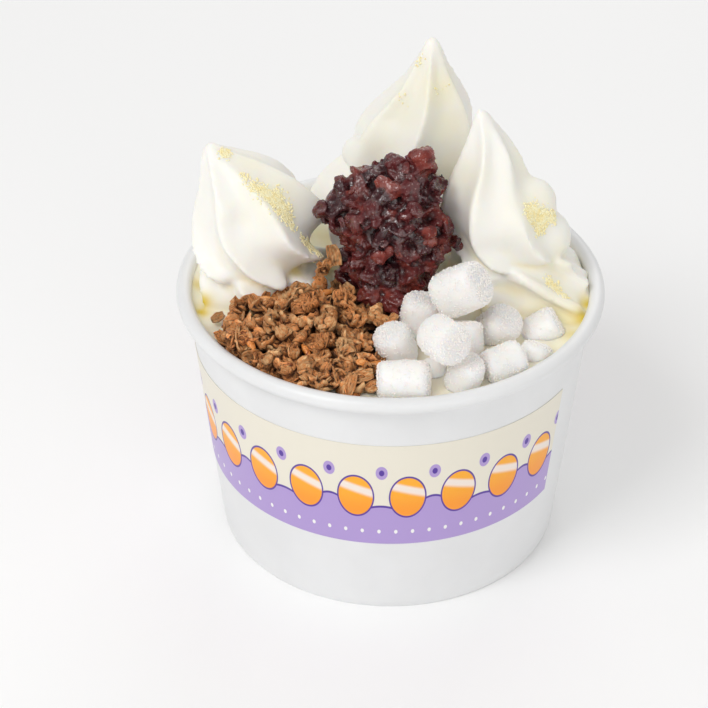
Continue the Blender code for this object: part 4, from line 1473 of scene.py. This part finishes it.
def makeBean():
    look = beanSettings
    rng = random.Random(look["seed"])
    parts, middles, tones = [], [], []
    for mound in look["mounds"]:
        radii = [(r - look["slimmer"] - 0.4) * mm for r in mound["radii"]]
        parts.append(ball(Vector(mound["centre"]) * mm, radii))
        for direction in spreadDirections(mound["beans"]):
            point, outward = onMound(mound, direction)
            long = rng.uniform(*look["length"]) / 2 * mm
            wide = long * rng.uniform(*look["slimness"])
            spin = Matrix.Rotation(rng.uniform(0, math.pi), 3, "Z")
            lean = Matrix.Rotation(rng.uniform(-0.5, 0.5), 3, "X")
            turn = outward.to_track_quat("Z", "X").to_matrix() @ spin @ lean
            place = point + outward * wide * rng.uniform(*look["rise"])
            parts.append(ball(place, (long * 0.94, wide * 0.9, wide * 0.9), turn, 16, 10))
            middles.append(place + outward * wide * 0.6)
            tones.append(rng.random())
    rng = random.Random(look["bitSeed"])
    for mound, bits in zip(look["mounds"], look["bits"]):
        for direction in spreadDirections(bits):
            wander = Vector([rng.uniform(-0.25, 0.25) for _ in range(3)])
            point, outward = onMound(mound, (direction + wander).normalized())
            long = rng.uniform(*look["bitLength"]) / 2 * mm
            turn = Matrix.Rotation(rng.uniform(0, math.tau), 3, "Z")
            turn = turn @ Matrix.Rotation(rng.uniform(0, math.pi), 3, "X")
            place = point + outward * rng.uniform(0.2, 2.4) * mm
            radii = (long, long * rng.uniform(0.45, 0.85), long * rng.uniform(0.35, 0.7))
            verts, faces = ball(Vector(), radii, turn, 9, 7)
            verts = [place + Vector(v) * rng.uniform(0.88, 1.12) for v in verts]
            parts.append((verts, faces))
            middles.append(place + outward * long * 0.4)
            tones.append(rng.random())
    piece = voxelMerged("red_bean_mound", parts, look["voxel"], beanMaterial("red_bean_paste", 1.0))
    edges = edgesOf(piece)
    co = relaxed(places(piece), edges, 3, 0.5)
    setPlaces(piece, co)
    normals = normalsOf(piece)
    nearest = KDTree(len(middles))
    for i, middle in enumerate(middles):
        nearest.insert(middle, i)
    nearest.balance()
    moved = np.empty(len(co))
    tone = np.empty(len(co))
    for i in range(len(co)):
        point = Vector(co[i])
        tone[i] = tones[nearest.find(point)[1]]
        warped = point + noise.noise_vector(point / (3 * mm)) * 1.2 * mm
        lump = 1 - abs(noise.noise(warped / look["lump"])) * 2.5
        wrinkle = 1 - abs(noise.noise(warped / look["wrinkle"])) * 2
        fine = pebbled(warped, look["fineCell"])
        rough = min(max(noise.noise(point / (5 * mm)) * 1.6 + 0.5, 0.1), 1)
        moved[i] = (lump - 0.7) * look["lumpDepth"] + (wrinkle - 0.5) * look["wrinkleDepth"]
        moved[i] += (fine - 0.7) * look["fineDepth"] * rough
    co = co + normals * moved[:, None]
    setPlaces(piece, co)
    # How deep each point lies in a crease, which the material paints as near-black shade
    lifted = relaxed(co, edges, 25, 0.6)
    depth = np.einsum("ij,ij->i", lifted - co, normals)
    storeFloats(piece, "crease", np.clip(depth / (0.9 * mm), 0, 1))
    storeFloats(piece, "tone", relaxed(np.stack([tone] * 3, axis=1), edges, 1, 0.5)[:, 0])
    declare(piece, "red_bean")
    return piece


# Torn bean skins that lie curled on the mound
def makeSkins(mound):
    look = beanSettings
    rng = random.Random(look["skinSeed"])
    tree = treeOf(mound)
    spots = []
    for direction in spreadDirections(look["skins"]):
        start = Vector((-0.5, -4, 90)) * mm + direction * 40 * mm
        hit, normal, _, _ = tree.ray_cast(start, -direction)
        if hit is None or hit.z < 72 * mm:
            continue
        spin = Matrix.Rotation(rng.uniform(0, math.tau), 3, "Z")
        spin = spin @ Matrix.Rotation(rng.uniform(-0.5, 0.5), 3, "Y")
        turn = (normal + direction).normalized().to_track_quat("Z", "X").to_matrix() @ spin
        spots.append({
            "place": hit + normal * rng.uniform(-0.4, 0.1) * mm,
            "turn": turn.to_euler(),
            "size": rng.uniform(*look["skinSize"]) * mm,
            "tone": rng.random(),
            "pick": rng.randrange(8),
        })
    shapes = [flakeShape(rng, 9, 14, (0.5, 0.95), 0.07, (0.4, 1.2)) for _ in range(8)]
    finish = beanMaterial("red_bean_skin", 0.5)
    placedShapes("red_bean_skins", "red_bean", finish, spots, shapes)


print("red bean")
beanPiece = makeBean()
makeSkins(beanPiece)


# Granola: a near-black bed, painted shade that shows between the grains, and grains of three kinds placed by
# Geometry Nodes
granolaSettings = {
    "centre": Vector((-19.5, -30.0, 69.0)) * mm,
    "radii": Vector((28.5, 25.0, 7.0)) * mm,
    "tilt": 7.0,
    "seed": 31,
    "variants": 9,
    "layers": (
        {"count": 130, "rise": 0.2, "size": (5.2, 7.4), "tone": 0.35},
        {"count": 100, "rise": 2.0, "size": (5.4, 8.0), "tone": 0.5},
        {"count": 38, "rise": 3.8, "size": (5.2, 7.6), "tone": 0.6},
    ),
}
# Single grains by the photo's pixel
granolaExtras = (
    {"pixel": (331, 259), "beside": (318, 252), "kind": 1, "size": 6.6, "tone": 0.9, "spin": 0.15},
    {"pixel": (321, 271), "beside": (314, 256), "kind": 0, "size": 4.8, "tone": 0.6, "spin": 0.8},
    {"pixel": (335, 289), "kind": 1, "size": 4.6, "tone": 0.8, "spin": 0.6},
    {"pixel": (350, 297), "kind": 2, "size": 6.4, "tone": 0.9},
    {"pixel": (379, 313), "kind": 1, "size": 7.6, "tone": 0.8},
    {"pixel": (218, 322), "kind": 1, "size": 4.2, "tone": 1.0},
    {"pixel": (240, 326), "kind": 2, "size": 6.2, "tone": 0.8},
    {"pixel": (257, 310), "kind": 0, "size": 7.4, "tone": 0.6},
    {"pixel": (300, 296), "kind": 0, "size": 7.8, "tone": 0.9},
    {"pixel": (312, 301), "kind": 0, "size": 7.2, "tone": 0.8},
    {"pixel": (300, 328), "kind": 2, "size": 6.4, "tone": 0.5},
    {"pixel": (325, 324), "kind": 2, "size": 6.8, "tone": 0.9},
    {"pixel": (308, 318), "kind": 2, "size": 5.2, "tone": 0.0},
    {"pixel": (362, 384), "kind": 1, "size": 6.6, "tone": 0.8},
    {"pixel": (371, 376), "kind": 0, "size": 6.4, "tone": 0.6},
    {"pixel": (374, 391), "kind": 1, "size": 6.0, "tone": 0.7},
    {"pixel": (350, 391), "kind": 1, "size": 7.2, "tone": 0.7},
    {"pixel": (340, 384), "kind": 0, "size": 7.0, "tone": 0.7},
    {"pixel": (381, 381), "kind": 1, "size": 5.0, "tone": 0.5},
    {"pixel": (383, 362), "kind": 1, "size": 5.4, "tone": 0.7},
)


# Curled flakes stuck together like petals
def clusterShape(rng):
    count = rng.choice((3, 4))
    parts = []
    for i in range(count):
        heading = math.tau * i / count + rng.uniform(-0.5, 0.5)
        tilt = rng.uniform(-1.2, 0.2)
        turn = Matrix.Rotation(heading, 3, "Z") @ Matrix.Rotation(tilt, 3, "Y")
        turn = turn @ Matrix.Rotation(rng.uniform(-0.9, 0.9), 3, "X")
        shift = turn @ Vector((rng.uniform(0.10, 0.20), 0, 0))
        parts.append((flakeShape(rng, 10, 20), turn, rng.uniform(0.6, 0.8), shift))
    return shapesJoined(parts)


# A smooth seed with a shallow groove
def seedShape(rng, sides=18, rows=12):
    radii = (0.5, rng.uniform(0.24, 0.3), rng.uniform(0.18, 0.24))
    verts, faces = ball(Vector(), radii, sides=sides, rows=rows)
    made = []
    for vert in verts:
        pinch = 1 - 0.35 * max(vert.x, 0) * 1.4
        groove = 0.035 * math.exp(-(vert.y / 0.06) ** 2) if vert.z > 0 else 0.0
        made.append(Vector((vert.x, vert.y * pinch, vert.z * pinch - groove)))
    marks = {"along": [v.x for v in made], "across": [v.y * 1.4 for v in made]}
    return made, faces, marks


# Streaks along a grain: its colour from three tones, with painted shade in the gaps and a painted highlight
# on the rims, and its normal
def toastedGroup():
    inputs = (("Dark", "colour"), ("Middle", "colour"), ("Pale", "colour"), ("Relief", "value"))
    outputs = (("Color", "colour"), ("Normal", "normal"))
    tree, nodes, given, out = shaderGroup("toasted", inputs, outputs)
    tone = nodes.attribute("tone")
    across = nodes.attribute("across")
    place = nodes.add("ShaderNodeCombineXYZ")
    nodes.put(place, "X", nodes.math("MULTIPLY", nodes.attribute("along"), 4.0))
    nodes.put(place, "Y", nodes.math("MULTIPLY", across, 6.0))
    nodes.put(place, "Z", nodes.math("MULTIPLY", tone, 60.0))
    curly = nodes.add("ShaderNodeTexNoise", Vector=place.outputs[0], Scale=1.0, Detail=3.0, Roughness=0.65)
    nodes.put(curly, "Distortion", 0.9)
    streak = curly.outputs["Fac"]
    blotch = nodes.noise(nodes.objectPlace(), 380.0, 3.0, 0.65)
    # Painted highlight: the colour a little paler towards the rims
    rimHighlight = nodes.ramp(nodes.math("ABSOLUTE", across), 0.7, 1.0)
    mixed = nodes.math("MULTIPLY_ADD", tone, 0.4, nodes.math("MULTIPLY_ADD", streak, 2.0, -0.58))
    mixed = nodes.math("MULTIPLY_ADD", blotch, 0.35, mixed)
    mixed = nodes.math("MULTIPLY_ADD", rimHighlight, 0.08, mixed)
    colour = nodes.mix(nodes.ramp(mixed, 0.46, 0.72), given.outputs["Dark"], given.outputs["Middle"])
    colour = nodes.mix(nodes.ramp(mixed, 0.82, 1.08), colour, given.outputs["Pale"])
    # Painted shade: near black where close neighbours cover the grain, by the stored share of blocked rays
    gap = nodes.math("MULTIPLY", nodes.ramp(nodes.attribute("gap"), 0.4, 1.0), 0.88)
    colour = nodes.mix(gap, colour, (0.035, 0.010, 0.004, 1))
    fine = nodes.noise(nodes.objectPlace(), 1600.0, 3.0, 0.65)
    height = nodes.math("MULTIPLY_ADD", fine, 0.35, streak)
    raised = nodes.add("ShaderNodeBump", Strength=given.outputs["Relief"], Distance=0.0011, Height=height)
    nodes.put(out, "Color", colour)
    nodes.put(out, "Normal", raised.outputs[0])
    return tree


toasted = toastedGroup()


def granolaMaterial(kind):
    made, nodes, shader = newMaterial(kind["name"], Roughness=kind["rough"])
    tones = {key.title(): kind[key] for key in ("dark", "middle", "pale")}
    skin = nodes.add("ShaderNodeGroup", {"node_tree": toasted}, Relief=kind["relief"], **tones)
    nodes.put(shader, "Base Color", skin.outputs["Color"])
    nodes.put(shader, "Normal", skin.outputs["Normal"])
    nodes.put(shader, "Specular IOR Level", 0.5)
    return made


granolaKinds = (
    {
        "name": "oat_clusters",
        "shape": clusterShape,
        "share": 0.40,
        "scale": 1.25,
        "dark": (0.20, 0.050, 0.013, 1),
        "middle": (0.95, 0.375, 0.12, 1),
        "pale": (1.0, 0.60, 0.28, 1),
        "rough": 0.34,
        "relief": 1.0,
    },
    {
        "name": "oat_flakes",
        "shape": flakeShape,
        "share": 0.34,
        "scale": 1.05,
        "dark": (0.21, 0.053, 0.014, 1),
        "middle": (0.96, 0.385, 0.125, 1),
        "pale": (1.0, 0.61, 0.29, 1),
        "rough": 0.33,
        "relief": 1.0,
    },
    {
        "name": "toasted_seeds",
        "shape": seedShape,
        "share": 0.26,
        "scale": 0.85,
        "dark": (0.30, 0.070, 0.016, 1),
        "middle": (0.84, 0.30, 0.068, 1),
        "pale": (0.95, 0.47, 0.17, 1),
        "rough": 0.27,
        "relief": 0.3,
    },
)


# Where the grains lie: golden-angle spirals over the heap, clear of the rest
def granolaSpots():
    look = granolaSettings
    rng = random.Random(look["seed"])
    turn = Matrix.Rotation(math.radians(look["tilt"]), 3, "X")
    golden = math.pi * (3 - math.sqrt(5))
    others = [treeOf(piece) for piece in marshmallows] + [treeOf(beanPiece)]
    spots = []
    for layer in look["layers"]:
        for i in range(layer["count"]):
            out = math.sqrt((i + 0.5) / layer["count"]) * (0.98 if layer["rise"] < 1 else 0.88)
            angle = golden * i + rng.uniform(-0.3, 0.3)
            direction = Vector((math.cos(angle) * out, math.sin(angle) * out, math.sqrt(1 - out * out)))
            point = look["centre"] + turn @ Vector([d * r for d, r in zip(direction, look["radii"])])
            size = rng.uniform(*layer["size"]) * mm
            point.z += (layer["rise"] + rng.uniform(-0.5, 0.5)) * mm
            reach = math.hypot(point.x, point.y)
            most = room(point.z) + 0.2 * mm - size * 0.36
            if reach > most:
                point.x *= most / reach
                point.y *= most / reach
            near, inside = size, False
            for tree in others:
                hit, normal, _, away = tree.find_nearest(point)
                near = min(near, away)
                inside = inside or (away < 6 * mm and (point - hit).dot(normal) < 0)
            if inside or near < size * 0.26:
                continue
            spots.append({
                "place": point,
                "turn": Vector([rng.uniform(-0.9, 0.9), rng.uniform(-0.8, 0.8), rng.uniform(0, math.tau)]),
                "size": size,
                "tone": min(max(layer["tone"] + rng.uniform(-0.4, 0.4), 0), 1),
                "pick": rng.randrange(look["variants"]),
            })
    return spots


# The single grains, each on whatever the camera's ray meets first
def extraSpots(grounds):
    rng = random.Random(granolaSettings["seed"] + 2)
    spots = []
    for extra in granolaExtras:
        start, ray = pixelRay(*extra.get("beside", extra["pixel"]))
        hits = [tree.ray_cast(start, ray) for tree in grounds]
        hits = [hit for hit in hits if hit[0] is not None]
        _, normal, _, away = min(hits, key=lambda hit: hit[3])
        ray = pixelRay(*extra["pixel"])[1]
        place = start + ray * away
        size = extra["size"] * mm
        place = place + normal * size * 0.2 - ray * size * 0.25
        spin = Matrix.Rotation(extra.get("spin", rng.uniform(0, math.tau)), 3, "Z")
        outward = -ray if "spin" in extra else (normal - ray * 0.8).normalized()
        facing = outward.to_track_quat("Z", "X").to_matrix() @ spin
        spots.append({
            "place": place,
            "turn": facing.to_euler(),
            "size": size,
            "tone": extra["tone"],
            "pick": rng.randrange(granolaSettings["variants"]),
            "kind": extra["kind"],
        })
    return spots


def makeGranola():
    look = granolaSettings
    turn = Matrix.Rotation(math.radians(look["tilt"]), 3, "X")
    # The bed's near-black colour is painted shade for the gaps between the grains
    darkBed, nodes, shader = newMaterial("granola_bed", Roughness=0.8)
    grit = nodes.noise(nodes.objectPlace(), 500.0, 3.0)
    nodes.put(shader, "Base Color", mottled(nodes, 500.0, (0.02, 0.008, 0.004, 1), (0.14, 0.05, 0.02, 1)))
    bump(nodes, shader, grit, 0.9, 0.001)
    verts, faces = ball(look["centre"] - Vector((0, 0, 0.9 * mm)), look["radii"] * 0.97, turn, 64, 40)
    lumpy = []
    for vert in verts:
        high = pebbled(vert, 4.5 * mm) * 1.1 * mm
        lumpy.append(keptIn(Vector((vert.x, vert.y, vert.z + high - 0.6 * mm))))
    bed = newPiece("granola_bed", lumpy, faces, darkBed)
    declare(bed, "granola")
    rng = random.Random(look["seed"] + 1)
    spots = granolaSpots()
    for spot in spots:
        spot["rank"] = spot["place"].z / mm + rng.uniform(-4, 4)
    spots.sort(key=lambda spot: -spot["rank"])
    clusters = round(len(spots) * granolaKinds[0]["share"])
    rest = spots[clusters:]
    rng.shuffle(rest)
    spots = spots[:clusters] + rest
    extras = extraSpots([treeOf(piece) for piece in (bed, yogurtPiece, beanPiece)])
    start = 0
    made = []
    for number, kind in enumerate(granolaKinds):
        count = round(len(spots) * kind["share"])
        taken = spots[start:start + count] + [spot for spot in extras if spot["kind"] == number]
        start += count
        taken = [dict(spot, size=spot["size"] * kind["scale"]) for spot in taken]
        shapes = [kind["shape"](rng) for _ in range(look["variants"])]
        made.append(placedShapes(kind["name"], "granola", granolaMaterial(kind), taken, shapes))
    storeGapShade(made, [beanPiece, *marshmallows], 20, 6 * mm)


print("granola")
makeGranola()


# Floor and light
lightSettings = {
    "world": 0.61,
    "key": {"place": (-0.5, -0.5, 0.9), "size": 0.45, "power": 4.35},
    "fill": {"place": (0.3, -1.0, 0.5), "size": 0.8, "power": 1.75},
    "back": {"place": (0.2, 0.8, 0.6), "size": 0.6, "power": 1.4},
}


def makeStage():
    floorFinish, nodes, shader = newMaterial("floor", Base_Color=(0.96, 0.96, 0.96, 1), Roughness=0.9)
    verts = [(-3, -3, 0), (3, -3, 0), (3, 3, 0), (-3, 3, 0)]
    floor = newPiece("floor", verts, [(0, 1, 2, 3)], floorFinish)
    world = bpy.data.worlds.new("studio")
    world.use_nodes = True
    background = world.node_tree.nodes["Background"]
    background.inputs["Color"].default_value = (1.0, 0.995, 0.985, 1)
    background.inputs["Strength"].default_value = lightSettings["world"]
    scene.world = world
    for name in ("key", "fill", "back"):
        spec = lightSettings[name]
        data = bpy.data.lights.new(name, "AREA")
        data.size = spec["size"]
        data.energy = spec["power"]
        lamp = bpy.data.objects.new(name, data)
        scene.collection.objects.link(lamp)
        lamp.location = spec["place"]
        aim = Vector((0, 0, 80 * mm)) - lamp.location
        lamp.rotation_mode = "QUATERNION"
        lamp.rotation_quaternion = aim.to_track_quat("-Z", "Y")
    scene.view_settings.view_transform = "Standard"


print("stage")
makeStage()

for piece in scene.objects:
    if piece.type == "MESH" and len(piece.data.polygons) > 2000:
        corners = sum(len(polygon.vertices) - 2 for polygon in piece.data.polygons)
        print(piece.name, corners, "triangles")
